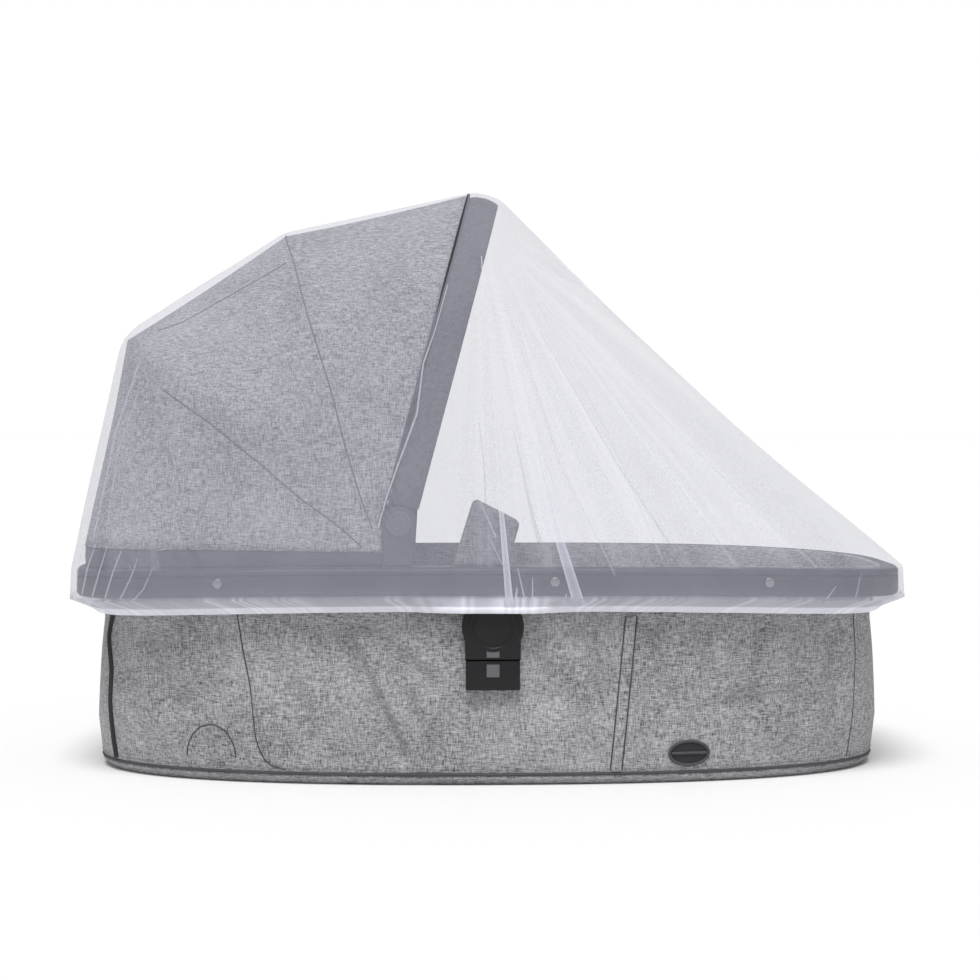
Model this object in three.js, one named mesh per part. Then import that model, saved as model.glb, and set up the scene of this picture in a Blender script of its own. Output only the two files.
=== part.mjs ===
// A stroller mosquito net, drawn tight over the hood and rim of a carrycot.
// Millimetres, +Z up, +X towards the foot end, origin on the floor under the middle of the net.
import * as THREE from "three";
import { ConvexHull } from "three/addons/math/ConvexHull.js";
import { mergeVertices } from "three/addons/utils/BufferGeometryUtils.js";

// Driving sizes of the carrycot that the net is pulled over
const RIM = { halfLength: 409, halfWidth: 200, squareness: 3.5, top: 208, height: 28, width: 16, dip: 8 };
const PIVOT = { x: -88, height: 40 };
const BOW = { halfWidth: 193, squareness: 3.2 };
const SEAT_GAP = 0.3; // between pieces that touch

// The three hoops of the hood, each as the place of its crest: x, and height over the rim
const HOOPS = {
  front: { crestX: -4, crestHeight: 356 },
  middle: { crestX: -201, crestHeight: 319 },
  back: { crestX: -358, crestHeight: 216 },
};

// The net: how it lies on what carries it
const NET = { thickness: 1.4, gap: 2.8, hemGap: 0.6, offHoop: 6.2, sag: 11 };

const COLOURS = {
  net: { color: 0xe9e9f2, roughness: 0.75, metalness: 0 },
  melange: { color: 0x8f8e93, roughness: 0.95, metalness: 0 },
  trim: { color: 0x3a3b42, roughness: 0.8, metalness: 0 },
  rail: { color: 0x34363c, roughness: 0.5, metalness: 0 },
  plastic: { color: 0x1e1e21, roughness: 0.55, metalness: 0 },
  steel: { color: 0xb9bbc0, roughness: 0.3, metalness: 1 },
};

// A superellipse's half width at a share of its half length
const narrowing = (share, squareness) =>
  Math.pow(Math.max(0, 1 - Math.pow(Math.min(1, Math.abs(share)), squareness)), 1 / squareness);

const rimDrop = (x) => RIM.dip * Math.pow(Math.min(1, Math.abs(x) / RIM.halfLength), 3);
const rimTop = (x) => RIM.top - rimDrop(x);

// A point of an oval plan at an angle that every oval here shares, so that rings line up
function ovalPoint(oval, angle) {
  const c = Math.cos(angle);
  const s = Math.sin(angle);
  const power = 2 / oval.squareness;
  return new THREE.Vector2(
    oval.halfLength * Math.sign(c) * Math.pow(Math.abs(c), power),
    oval.halfWidth * Math.sign(s) * Math.pow(Math.abs(s), power),
  );
}

function ovalAngle(oval, x, y) {
  const c = Math.sign(x) * Math.pow(Math.min(1, Math.abs(x) / oval.halfLength), oval.squareness / 2);
  const s = Math.sign(y) * Math.pow(Math.min(1, Math.abs(y) / oval.halfWidth), oval.squareness / 2);
  return Math.atan2(s, c);
}

const grown = (oval, by) => ({
  halfLength: oval.halfLength + by,
  halfWidth: oval.halfWidth + by,
  squareness: oval.squareness,
});

// Half of an oval, from x on its near side round one end to x on its far side
class EndLoop extends THREE.Curve {
  constructor(oval, x, end) {
    super();
    this.oval = oval;
    this.end = end; // -1 is the head end, 1 the foot end
    this.start = ovalAngle(oval, x * end, oval.halfWidth * narrowing(x / oval.halfLength, oval.squareness));
    this.arcLengthDivisions = 1200;
  }
  getPoint(t) {
    const turn = THREE.MathUtils.lerp(-this.start, this.start, t);
    const p = ovalPoint(this.oval, turn);
    return new THREE.Vector3(this.end * p.x, p.y, 0);
  }
}

// A closed ring of points round an oval, evenly spaced
function ovalRing(oval, count, z) {
  const half = new EndLoop(oval, 0, 1).getSpacedPoints(count / 2);
  const points = half.slice(0, -1);
  half.slice(1).reverse().forEach((p) => points.push(new THREE.Vector3(-p.x, p.y, 0)));
  points.forEach((p) => p.setZ(z(p.x)));
  return points;
}

// Mesh helpers: triangles between rows, walls between rings, a sheet given its thickness
function trianglesOf(rows, closed) {
  const triangles = [];
  for (let i = 0; i + 1 < rows.length; i += 1) {
    const count = rows[i].length;
    for (let j = 0; j < (closed ? count : count - 1); j += 1) {
      const k = (j + 1) % count;
      triangles.push([rows[i][j], rows[i][k], rows[i + 1][k]]);
      triangles.push([rows[i][j], rows[i + 1][k], rows[i + 1][j]]);
    }
  }
  return triangles;
}

function capOf(ring) {
  const centre = ring.reduce((sum, p) => sum.add(p), new THREE.Vector3()).divideScalar(ring.length);
  return ring.map((p, j) => [centre, p, ring[(j + 1) % ring.length]]);
}

function indexed(triangles) {
  const soup = new THREE.BufferGeometry().setFromPoints(triangles.flat());
  return mergeVertices(soup, 1e-3);
}

function volumeOf(points, faces) {
  const cross = new THREE.Vector3();
  return faces.reduce((sum, [a, b, c]) => sum + points[a].dot(cross.crossVectors(points[b], points[c])), 0);
}

function geometryOf(points, faces) {
  const outward = volumeOf(points, faces) > 0 ? faces : faces.map(([a, b, c]) => [a, c, b]);
  return new THREE.BufferGeometry().setFromPoints(outward.flat().map((i) => points[i]));
}

function meshParts(geometry) {
  const points = [];
  const position = geometry.attributes.position;
  for (let i = 0; i < position.count; i += 1) {
    points.push(new THREE.Vector3().fromBufferAttribute(position, i));
  }
  const faces = [];
  for (let i = 0; i < geometry.index.count; i += 3) {
    const face = [0, 1, 2].map((k) => geometry.index.getX(i + k));
    if (new Set(face).size === 3) faces.push(face);
  }
  return { points, faces };
}

function solid(triangles) {
  const { points, faces } = meshParts(indexed(triangles));
  return geometryOf(points, faces);
}

// A closed sheet: its outer face, the same face set in by the thickness, and the edge between them
function sheet(triangles, thickness) {
  const { points, faces } = meshParts(indexed(triangles));
  const normals = points.map(() => new THREE.Vector3());
  const edges = new Map();
  for (const face of faces) {
    const [a, b, c] = face.map((i) => points[i]);
    const normal = new THREE.Vector3().crossVectors(b.clone().sub(a), c.clone().sub(a));
    face.forEach((i, k) => {
      normals[i].add(normal);
      edges.set(`${i} ${face[(k + 1) % 3]}`, [i, face[(k + 1) % 3]]);
    });
  }
  const inner = points.map((p, i) => p.clone().addScaledVector(normals[i].normalize(), -thickness));
  const all = [...faces];
  faces.forEach(([a, b, c]) => all.push([a + points.length, c + points.length, b + points.length]));
  for (const [a, b] of edges.values()) {
    if (edges.has(`${b} ${a}`)) continue;
    all.push([b, a, a + points.length], [b, a + points.length, b + points.length]);
  }
  return geometryOf([...points, ...inner], all);
}

// The tub: fabric walls round a flat floor, open at the top
const TUB_LEVELS = [
  { z: 0, halfLength: 380, halfWidth: 174, squareness: 2.4 },
  { z: 7, halfLength: 388, halfWidth: 182, squareness: 2.4 },
  { z: 50, halfLength: 391, halfWidth: 185, squareness: 2.6 },
  { z: 120, halfLength: 386, halfWidth: 184, squareness: 3 },
  { z: 150, halfLength: 383, halfWidth: 181, squareness: 3.2 },
  { z: 172, halfLength: 385, halfWidth: 181, squareness: 3.3 },
];
const TUB = { wall: 4, floor: 6, segments: 72 };
const RIM_INNER = grown(RIM, -RIM.width);

function tubOval(z) {
  const levels = [...TUB_LEVELS, { z: RIM.top, ...grown(RIM_INNER, -SEAT_GAP) }];
  const above = Math.max(1, levels.findIndex((level) => level.z >= z));
  const low = levels[above - 1];
  const high = levels[above];
  const share = THREE.MathUtils.clamp((z - low.z) / (high.z - low.z), 0, 1);
  const between = (key) => THREE.MathUtils.lerp(low[key], high[key], share);
  return {
    halfLength: between("halfLength"),
    halfWidth: between("halfWidth"),
    squareness: between("squareness"),
  };
}

function tub() {
  const ring = (z, inset, height) => ovalRing(grown(tubOval(z), -inset), TUB.segments, height);
  const outer = TUB_LEVELS.map(({ z }) => ring(z, 0, () => z));
  const lip = ring(RIM.top, 0, rimTop);
  const inner = TUB_LEVELS.slice(2).map(({ z }) => ring(z, TUB.wall, () => z)).reverse();
  const innerLip = ring(RIM.top, TUB.wall, rimTop);
  const floor = ring(TUB.floor, TUB.wall, () => TUB.floor);
  const rings = [...outer, lip, innerLip, ...inner, floor];
  return solid([
    ...trianglesOf(rings, true),
    ...capOf(rings[0]).map(([c, a, b]) => [c, b, a]),
    ...capOf(floor),
  ]);
}

// The rim: one oval tube bent round the top of the tub, soft-edged, lower at both ends
const RIM_SECTION = [
  { inset: 0, below: 4 },
  { inset: 0, below: 24 },
  { inset: 4, below: 28 },
  { inset: 12, below: 28 },
  { inset: 16, below: 24 },
  { inset: 16, below: 4 },
  { inset: 12, below: 0 },
  { inset: 4, below: 0 },
];

function rim() {
  const ring = ({ inset, below }) => ovalRing(grown(RIM, -inset), TUB.segments, (x) => rimTop(x) - below);
  const rings = RIM_SECTION.map(ring);
  return solid(trianglesOf([...rings, rings[0]], true));
}

// The hood: hoops on one pivot line, with cloth from hoop to hoop
const HOOD = {
  cloth: 2.4,
  binding: 3,
  bandGap: 1.7,
  hemGap: 1,
  rimGap: 0.5,
  hemRise: 19,
  frontHemRise: 12,
  startX: -112,
  middleStart: 28,
  backStart: 20,
};
const BAND = { width: 29, thickness: 4, startRadius: 18 };
const HOOD_COLUMNS = 28;
const PANEL_ROWS = 4;

const pivotPoint = new THREE.Vector3(PIVOT.x, 0, RIM.top + PIVOT.height);

// How high up its hoop a column runs: even steps across the top, closer ones up the leg
const climb = (share) => 1 - Math.pow(1 - share, BOW.squareness);

function hoopDirection(hoop) {
  return new THREE.Vector3(hoop.crestX - PIVOT.x, 0, hoop.crestHeight - PIVOT.height);
}

// across runs from -1 at the near pivot over the crest to 1 at the far pivot
function hoopPoint(hoop, across, startRadius) {
  const direction = hoopDirection(hoop);
  const radius = direction.length();
  const height = climb(1 - Math.abs(across));
  const reach = THREE.MathUtils.lerp(startRadius, radius, height);
  const y = Math.sign(across) * BOW.halfWidth * narrowing(height, BOW.squareness);
  return pivotPoint.clone().addScaledVector(direction.normalize(), reach).add(new THREE.Vector3(0, y, 0));
}

function backwards(hoop) {
  const direction = hoopDirection(hoop).normalize();
  return new THREE.Vector3(-direction.z, 0, direction.x);
}

const acrossSteps = (count) => Array.from({ length: count + 1 }, (_, i) => (2 * i) / count - 1);

const RAIL_LINE = grown(RIM, -RIM.width / 2);

function hoodHem(rise, count) {
  return new EndLoop(RAIL_LINE, HOOD.startX, -1).getSpacedPoints(count).map((p) => {
    const forward = (p.x + RAIL_LINE.halfLength) / (HOOD.startX + RAIL_LINE.halfLength);
    const height = THREE.MathUtils.lerp(HOOD.hemRise, HOOD.frontHemRise, forward);
    return p.setZ(rimTop(p.x) + HOOD.rimGap + rise * height);
  });
}

function rowsBetween(from, to, count) {
  return Array.from({ length: count }, (_, i) => from.map((p, j) => p.clone().lerp(to[j], i / count)));
}

function hoodCloth() {
  const steps = acrossSteps(HOOD_COLUMNS);
  const back = backwards(HOOPS.front).multiplyScalar(BAND.width / 2 + HOOD.bandGap);
  const front = steps.map((t) => hoopPoint(HOOPS.front, t, BAND.startRadius).add(back));
  const middle = steps.map((t) => hoopPoint(HOOPS.middle, t, HOOD.middleStart));
  const rear = steps.map((t) => hoopPoint(HOOPS.back, t, HOOD.backStart));
  const hem = hoodHem(1, HOOD_COLUMNS).map((p) => p.add(new THREE.Vector3(0, 0, HOOD.hemGap)));
  const rows = [
    ...rowsBetween(front, middle, PANEL_ROWS),
    ...rowsBetween(middle, rear, PANEL_ROWS),
    ...rowsBetween(rear, hem, PANEL_ROWS),
    hem,
  ];
  return sheet(trianglesOf(rows, false), HOOD.cloth);
}

function hoodBinding() {
  const bottom = hoodHem(0, HOOD_COLUMNS * 2);
  const top = hoodHem(1, HOOD_COLUMNS * 2);
  return sheet(trianglesOf([top, bottom], false), HOOD.binding);
}

function frontBow() {
  const forward = backwards(HOOPS.front).negate();
  const rows = [0.5, 0, -0.5].map((side) =>
    acrossSteps(HOOD_COLUMNS).map((t) =>
      hoopPoint(HOOPS.front, t, BAND.startRadius).addScaledVector(forward, side * BAND.width),
    ),
  );
  return sheet(trianglesOf(rows, false), BAND.thickness);
}

// The hood's pivot on one long side: a plate that stands on the rim, with a button in it
const PIVOT_PLATE = { radius: 16.5, halfBase: 14, thickness: 7, inset: 10 };
const BUTTON = { radius: 12, height: 2 };

function pivotPlate() {
  const outline = new THREE.Shape();
  outline.moveTo(-PIVOT_PLATE.halfBase, SEAT_GAP);
  outline.lineTo(PIVOT_PLATE.halfBase, SEAT_GAP);
  outline.absarc(0, PIVOT.height, PIVOT_PLATE.radius, 0, Math.PI, false);
  outline.closePath();
  const depth = PIVOT_PLATE.thickness;
  return new THREE.ExtrudeGeometry(outline, { depth, bevelEnabled: false, curveSegments: 12 });
}

function button(radius, height) {
  const profile = [
    [0, 0],
    [radius, 0],
    [radius, height * 0.5],
    [radius * 0.8, height],
    [0, height],
  ].map(([x, y]) => new THREE.Vector2(x, y));
  return new THREE.LatheGeometry(profile, 20);
}

const ADAPTOR = { halfWidth: 26, depth: 12, low: 92, discRadius: 29 };

// A rounded plate under the rim, which a stroller's chassis grips from below
function adaptorPlate() {
  const top = RIM.top - RIM.height - SEAT_GAP;
  const outline = new THREE.Shape();
  outline.moveTo(-ADAPTOR.discRadius, top);
  outline.absarc(0, top, ADAPTOR.discRadius, Math.PI, Math.PI * 1.14, false);
  outline.lineTo(-ADAPTOR.halfWidth, ADAPTOR.low);
  outline.lineTo(ADAPTOR.halfWidth, ADAPTOR.low);
  outline.absarc(0, top, ADAPTOR.discRadius, -Math.PI * 0.14, 0, false);
  outline.closePath();
  return new THREE.ExtrudeGeometry(outline, { depth: ADAPTOR.depth, bevelEnabled: false, curveSegments: 6 });
}

// The cloth-covered socket that stands on the near side of the rim, tilted to the foot end
const SOCKET = {
  depth: 12,
  outer: 195,
  corners: [[-38, 0.3], [14, 0.3], [25, 40], [22, 44], [-15, 63], [-19, 61]],
};

function socketCover() {
  const outline = new THREE.Shape(SOCKET.corners.map(([x, z]) => new THREE.Vector2(x, RIM.top + z)));
  return new THREE.ExtrudeGeometry(outline, { depth: SOCKET.depth, bevelEnabled: false });
}

// The net is pulled tight, so it lies on the hull of the hoops and of the rim's outer edge
const NET_RIM = grown(RIM, NET.gap + NET.thickness);
const NET_COLUMNS = 24; // from the near rim up to the crest
const LEG = 4 / NET_COLUMNS; // the share of the columns that climbs from the rim to a hoop's shoulder

// What the net's rows pass over, from head to foot. shift: from the hoop's middle line, forward;
// leaves: how high up the hoop the net meets it; footX: where the row stands on the rim
const ARCHES = [
  { hoop: HOOPS.back, shift: 0, leaves: 0.45, footX: -306 },
  { hoop: HOOPS.middle, shift: 0, leaves: 0.3, footX: -198 },
  { hoop: HOOPS.front, shift: -BAND.width / 2, leaves: 0.3, footX: -100 },
  { hoop: HOOPS.front, shift: BAND.width / 2 + 3, leaves: 0.3, footX: -62 },
];
const LOOP_START = { head: -346, foot: -32 };
const NET_ROWS = [5, 4, 4, 1, 8];

// Folds that fan out from the top of a hoop. rimX: where the fold crosses the rim; width and
// height: its size there
const FANS = [
  {
    top: [8, 340],
    from: -40,
    near: [
      { rimX: 24, width: 34, height: 6 },
      { rimX: 84, width: 38, height: 8 },
      { rimX: 152, width: 36, height: 4.5 },
      { rimX: 222, width: 40, height: 6 },
      { rimX: 306, width: 42, height: 4.5 },
    ],
    far: [
      { rimX: 8, width: 34, height: 5 },
      { rimX: 74, width: 38, height: 7 },
      { rimX: 140, width: 36, height: 4 },
      { rimX: 206, width: 40, height: 6.5 },
      { rimX: 286, width: 40, height: 5 },
    ],
  },
  {
    top: [-352, 205],
    from: -250,
    near: [
      { rimX: -322, width: 24, height: 3 },
      { rimX: -356, width: 26, height: 4.5 },
      { rimX: -392, width: 24, height: 3.5 },
    ],
    far: [
      { rimX: -334, width: 26, height: 4 },
      { rimX: -376, width: 26, height: 3.5 },
    ],
  },
];

// How far a point is lifted by the folds of a fan, seen from the side
function foldLift(p) {
  let lift = 0;
  for (const { top, from, near, far } of FANS) {
    if (Math.sign(p.x - from) !== Math.sign(top[0] - from)) continue;
    for (const { rimX, width, height } of p.y < 0 ? near : far) {
      const line = new THREE.Vector2(rimX - top[0], -top[1]);
      const reach = line.length();
      line.normalize();
      const run = new THREE.Vector2(p.x - top[0], p.z - RIM.top - top[1]);
      const along = run.dot(line) / reach;
      const aside = Math.abs(run.cross(line)) / (width * THREE.MathUtils.lerp(0.4, 1, along));
      const growth = THREE.MathUtils.smoothstep(along, 0.1, 0.8);
      if (aside < 1) lift += height * growth * (0.5 + 0.5 * Math.cos(Math.PI * aside));
    }
  }
  return lift;
}

function ridgePoint(arch, share, side) {
  const power = 2 / BOW.squareness;
  const first = Math.asin(Math.pow(arch.leaves, 1 / power));
  const turn = THREE.MathUtils.lerp(first, Math.PI / 2, share);
  const direction = hoopDirection(arch.hoop);
  const reach = (direction.length() + NET.offHoop) * Math.pow(Math.sin(turn), power);
  const y = side * (BOW.halfWidth + NET.offHoop) * Math.pow(Math.max(0, Math.cos(turn)), power);
  return pivotPoint.clone()
    .addScaledVector(direction.normalize(), reach)
    .addScaledVector(backwards(arch.hoop), -arch.shift)
    .add(new THREE.Vector3(0, y, 0));
}

function rimEdgePoint(x, side) {
  const y = NET_RIM.halfWidth * narrowing(x / NET_RIM.halfLength, NET_RIM.squareness);
  return new THREE.Vector3(x, side * y, rimTop(x));
}

function archPoint(arch, share, side) {
  if (share >= LEG) return ridgePoint(arch, (share - LEG) / (1 - LEG), side);
  return rimEdgePoint(arch.footX, side).lerp(ridgePoint(arch, 0, side), share / LEG);
}

const LOOPS = {
  head: new EndLoop(NET_RIM, LOOP_START.head, -1),
  foot: new EndLoop(NET_RIM, LOOP_START.foot, 1),
};
const TENT_LEG = 0.05; // the share of the foot loop that the leg's columns run to

function loopPoint(loop, share, side) {
  const p = loop.getPointAt(share / 2);
  return new THREE.Vector3(p.x, side * Math.abs(p.y), rimTop(p.x));
}

function netHull() {
  const points = ovalRing(NET_RIM, 112, rimTop);
  for (const arch of ARCHES) {
    for (let i = 0; i <= 24; i += 1) {
      points.push(ridgePoint(arch, i / 24, -1), ridgePoint(arch, i / 24, 1));
    }
  }
  return new ConvexHull().setFromPoints(points);
}

// A point inside the net's space that a point of it is pushed away from
const insideOf = (p) => new THREE.Vector3(p.x * 0.8, 0, RIM.top + 25);

function settledPoint(hull, p) {
  const origin = insideOf(p);
  const ray = new THREE.Ray(origin, p.clone().sub(origin).normalize());
  return hull.intersectRay(ray, new THREE.Vector3());
}

// The rows of the net's top from the head end to the foot end, each from the near rim over the
// crest to the far rim
function netTop() {
  const hull = netHull();
  const lines = [
    { footX: LOOP_START.head, at: (share, side) => loopPoint(LOOPS.head, share, side) },
    ...ARCHES.map((arch) => ({ footX: arch.footX, at: (share, side) => archPoint(arch, share, side) })),
    { footX: LOOP_START.foot, at: (share, side) => loopPoint(LOOPS.foot, tentShare(share), side) },
  ];
  const tentShare = (share) =>
    share < LEG ? (share * TENT_LEG) / LEG : TENT_LEG + ((share - LEG) * (1 - TENT_LEG)) / (1 - LEG);
  const rows = [];
  const addRow = (from, to, down, tent) => {
    const point = (share, side) => {
      const onLoop = (to === lines[lines.length - 1] && down === 1) || (from === lines[0] && down === 0);
      const p = from.at(share, side).lerp(to.at(share, side), down);
      if (share > 0 && !onLoop) p.copy(settledPoint(hull, p));
      if (share === 0) p.copy(rimEdgePoint(THREE.MathUtils.lerp(from.footX, to.footX, down), side));
      const sag = tent ? NET.sag * Math.sin(Math.PI * down) * THREE.MathUtils.smoothstep(share, 0, 0.6) : 0;
      const away = p.clone().sub(insideOf(p)).normalize();
      return p.addScaledVector(away, foldLift(p) - sag);
    };
    const shares = Array.from({ length: NET_COLUMNS + 1 }, (_, i) => i / NET_COLUMNS);
    const near = shares.map((share) => point(share, -1));
    const far = shares.slice(0, -1).reverse().map((share) => point(share, 1));
    rows.push([...near, ...far]);
  };
  NET_ROWS.forEach((count, span) => {
    const tent = span === NET_ROWS.length - 1;
    for (let i = 0; i < count; i += 1) addRow(lines[span], lines[span + 1], i / count, tent);
  });
  addRow(lines[lines.length - 2], lines[lines.length - 1], 1, true);
  return rows;
}

// The skirt: over the rim's face, in under it, and to the gathered hem on the tub
const SKIRT_LEVELS = [
  { below: 16, tuck: 0, gather: 0.4 },
  { below: 30, tuck: 0, gather: 0.7 },
  { below: 38, tuck: 0.8, gather: 1 },
  { below: 43, tuck: 1, gather: 0.6 },
];
const HEM = { endDrop: 2, gather: 2.2, pitch: 10, slant: 1.7, overAdaptor: 62 };

// The hem stands off the tub where it passes over an adaptor
function tuckShare(x) {
  return THREE.MathUtils.smoothstep(Math.abs(x), ADAPTOR.discRadius + 6, HEM.overAdaptor);
}

function skirtPoint(top, level) {
  const angle = ovalAngle(NET_RIM, top.x, top.y);
  const lift = foldLift(top) * (1 - 0.5 * level.tuck);
  const rimPoint = ovalPoint(NET_RIM, angle);
  const endward = Math.pow(Math.abs(rimPoint.x) / NET_RIM.halfLength, 2);
  const z = rimTop(rimPoint.x) - level.below - HEM.endDrop * endward * level.tuck;
  const hemOval = grown(tubOval(z), NET.hemGap + NET.thickness);
  const hemPoint = ovalPoint(hemOval, angle);
  const p = rimPoint.clone().lerp(hemPoint, level.tuck * tuckShare(rimPoint.x));
  const wave = 0.5 + 0.5 * Math.sin((rimPoint.x + HEM.slant * rimPoint.y) / HEM.pitch);
  const gather = HEM.gather * level.gather * wave + lift;
  const outward = p.clone().normalize().multiply(new THREE.Vector2(0.5, 1)).normalize();
  p.addScaledVector(outward, gather);
  return new THREE.Vector3(p.x, p.y, z);
}

function net() {
  const rows = netTop();
  const last = rows[0].length - 1;
  const boundary = [
    ...rows.map((row) => row[0]),
    ...rows[rows.length - 1].slice(1),
    ...rows.slice(0, -1).reverse().map((row) => row[last]),
    ...rows[0].slice(1, -1).reverse(),
  ];
  const skirt = SKIRT_LEVELS.map((level) => boundary.map((p) => skirtPoint(p, level)));
  const outside = [
    ...trianglesOf(rows, false).map(([a, b, c]) => [a, c, b]),
    ...trianglesOf([boundary, ...skirt], true).map(([a, b, c]) => [a, c, b]),
  ];
  return sheet(outside, NET.thickness);
}

// The whole part
const group = new THREE.Group();

function add(name, geometry, finish) {
  const mesh = new THREE.Mesh(geometry, new THREE.MeshStandardMaterial(COLOURS[finish]));
  mesh.name = name;
  group.add(mesh);
  return mesh;
}

add("net", net(), "net");
add("hood_cloth", hoodCloth(), "melange");
add("hood_binding", hoodBinding(), "trim");
add("front_bow", frontBow(), "trim");
add("rim", rim(), "rail");
add("tub", tub(), "melange");

const RIVET = { radius: 4.5, height: 0.8, below: 14, places: [-258, 58, 261] };

// The fittings of each long side; side is -1 for the near one and 1 for the far one
for (const [label, side] of [["near", -1], ["far", 1]]) {
  const turn = side < 0 ? Math.PI : 0;
  const plate = add(`pivot_${label}`, pivotPlate(), "plastic");
  plate.rotation.x = Math.PI / 2;
  const plateMiddle = side * (RIM.halfWidth - PIVOT_PLATE.inset);
  plate.position.set(PIVOT.x, plateMiddle + PIVOT_PLATE.thickness / 2, rimTop(PIVOT.x));

  const cap = add(`pivot_button_${label}`, button(BUTTON.radius, BUTTON.height), "plastic");
  cap.rotation.x = turn;
  const capInner = plateMiddle + side * (PIVOT_PLATE.thickness / 2 + SEAT_GAP);
  cap.position.set(PIVOT.x, capInner, rimTop(PIVOT.x) + PIVOT.height);

  const adaptor = add(`adaptor_${label}`, adaptorPlate(), "plastic");
  adaptor.rotation.x = Math.PI / 2;
  const adaptorInner = tubOval(ADAPTOR.low).halfWidth + SEAT_GAP;
  adaptor.position.y = side < 0 ? -adaptorInner : adaptorInner + ADAPTOR.depth;

  for (const [index, x] of RIVET.places.entries()) {
    const rivet = add(`rivet_${label}_${index + 1}`, button(RIVET.radius, RIVET.height), "steel");
    rivet.rotation.x = turn;
    const inward = Math.abs(x) - RIVET.radius;
    const face = RIM.halfWidth * narrowing(inward / RIM.halfLength, RIM.squareness);
    rivet.position.set(x, side * (face + SEAT_GAP), rimTop(x) - RIVET.below);
  }
}

const socket = add("socket_cover", socketCover(), "melange");
socket.rotation.x = Math.PI / 2;
socket.position.y = -SOCKET.outer + SOCKET.depth;

export default group;
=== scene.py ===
# A stroller mosquito net, pulled tight over the hood and the rim of a carrycot.
import math

import bmesh
import bpy
import numpy as np
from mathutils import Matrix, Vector
from mathutils.bvhtree import BVHTree


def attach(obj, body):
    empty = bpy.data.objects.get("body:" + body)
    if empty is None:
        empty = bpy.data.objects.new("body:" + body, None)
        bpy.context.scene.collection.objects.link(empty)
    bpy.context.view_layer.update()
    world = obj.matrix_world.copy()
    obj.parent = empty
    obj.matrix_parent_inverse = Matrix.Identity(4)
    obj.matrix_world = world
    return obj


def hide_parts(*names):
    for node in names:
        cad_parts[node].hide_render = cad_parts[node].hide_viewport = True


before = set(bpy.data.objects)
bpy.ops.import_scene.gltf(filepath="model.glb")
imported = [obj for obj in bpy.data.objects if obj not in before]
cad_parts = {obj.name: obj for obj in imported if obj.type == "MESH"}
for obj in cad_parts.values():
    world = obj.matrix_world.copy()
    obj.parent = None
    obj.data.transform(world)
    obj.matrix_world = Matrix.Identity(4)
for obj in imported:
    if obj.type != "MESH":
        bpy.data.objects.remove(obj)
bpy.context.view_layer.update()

scene = bpy.context.scene

# Studio
# A white floor and white surroundings, lit by one soft sun from the front and above, and a camera
# level with the hood, a little to the head side, that looks slightly down.
CAMERA = {"at": (-0.0635, -2.394, 0.359), "pitch": 2.06, "yaw": 1.58, "lens": 86.6}
SUN = {"strength": 2.7, "spread": 28, "towards": (0.05, 0.43, -0.79)}
SKY = {"as_light": 0.47, "as_seen": 1.0}
FLOOR = {"radius": 30, "tint": 0.84}

camera = bpy.data.objects.new("camera", bpy.data.cameras.new("camera"))
camera.data.lens = CAMERA["lens"]
camera.location = CAMERA["at"]
camera.rotation_euler = (math.radians(90 - CAMERA["pitch"]), 0, math.radians(-CAMERA["yaw"]))
camera.data.clip_start, camera.data.clip_end = 0.05, 60
scene.collection.objects.link(camera)
scene.camera = camera
scene.view_settings.view_transform = "Standard"
scene.cycles.transparent_max_bounces = 32

world = bpy.data.worlds.new("surroundings")
scene.world = world
world.use_nodes = True
nodes, links = world.node_tree.nodes, world.node_tree.links
white, seen = nodes["Background"], nodes.new("ShaderNodeLightPath")
white.inputs["Color"].default_value = (1, 1, 1, 1)
strength = nodes.new("ShaderNodeMapRange")
strength.inputs["To Min"].default_value = SKY["as_light"]
strength.inputs["To Max"].default_value = SKY["as_seen"]
links.new(seen.outputs["Is Camera Ray"], strength.inputs["Value"])
links.new(strength.outputs["Result"], white.inputs["Strength"])

sun = bpy.data.objects.new("window_light", bpy.data.lights.new("window_light", "SUN"))
sun.data.energy, sun.data.angle = SUN["strength"], math.radians(SUN["spread"])
sun.rotation_euler = Vector(SUN["towards"]).to_track_quat("-Z", "Y").to_euler()
scene.collection.objects.link(sun)

floor_mesh = bmesh.new()
bmesh.ops.create_circle(floor_mesh, cap_ends=True, segments=64, radius=FLOOR["radius"])
floor = bpy.data.objects.new("floor", bpy.data.meshes.new("floor"))
floor_mesh.to_mesh(floor.data)
floor_mesh.free()
scene.collection.objects.link(floor)
floor_paint = bpy.data.materials.new("floor_paint")
floor_paint.use_nodes = True
floor_look = floor_paint.node_tree.nodes["Principled BSDF"]
floor_look.inputs["Base Color"].default_value = (FLOOR["tint"], FLOOR["tint"], FLOOR["tint"], 1)
floor_look.inputs["Roughness"].default_value = 1.0
floor.data.materials.append(floor_paint)

# Rim
# One oval rail of dark, satin plastic round the top of the tub, a little lower at both ends,
# with a shallow groove along its face. Everything else is fixed to it or sits on it.
MM = 0.001
RIM = {"length": 409.0, "width": 200.0, "square": 3.5, "top": 208.0, "wide": 16.0, "dip": 8.0}
RIM_ROUND = 240  # points round the oval


def narrowing(share, square):
    """How wide an oval still is at a share of its half length."""
    share = np.clip(np.abs(share), 0, 1)
    return np.maximum(0, 1 - share ** square) ** (1 / square)


def rim_top(x):
    return RIM["top"] - RIM["dip"] * np.minimum(1, np.abs(x) / RIM["length"]) ** 3


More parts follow.
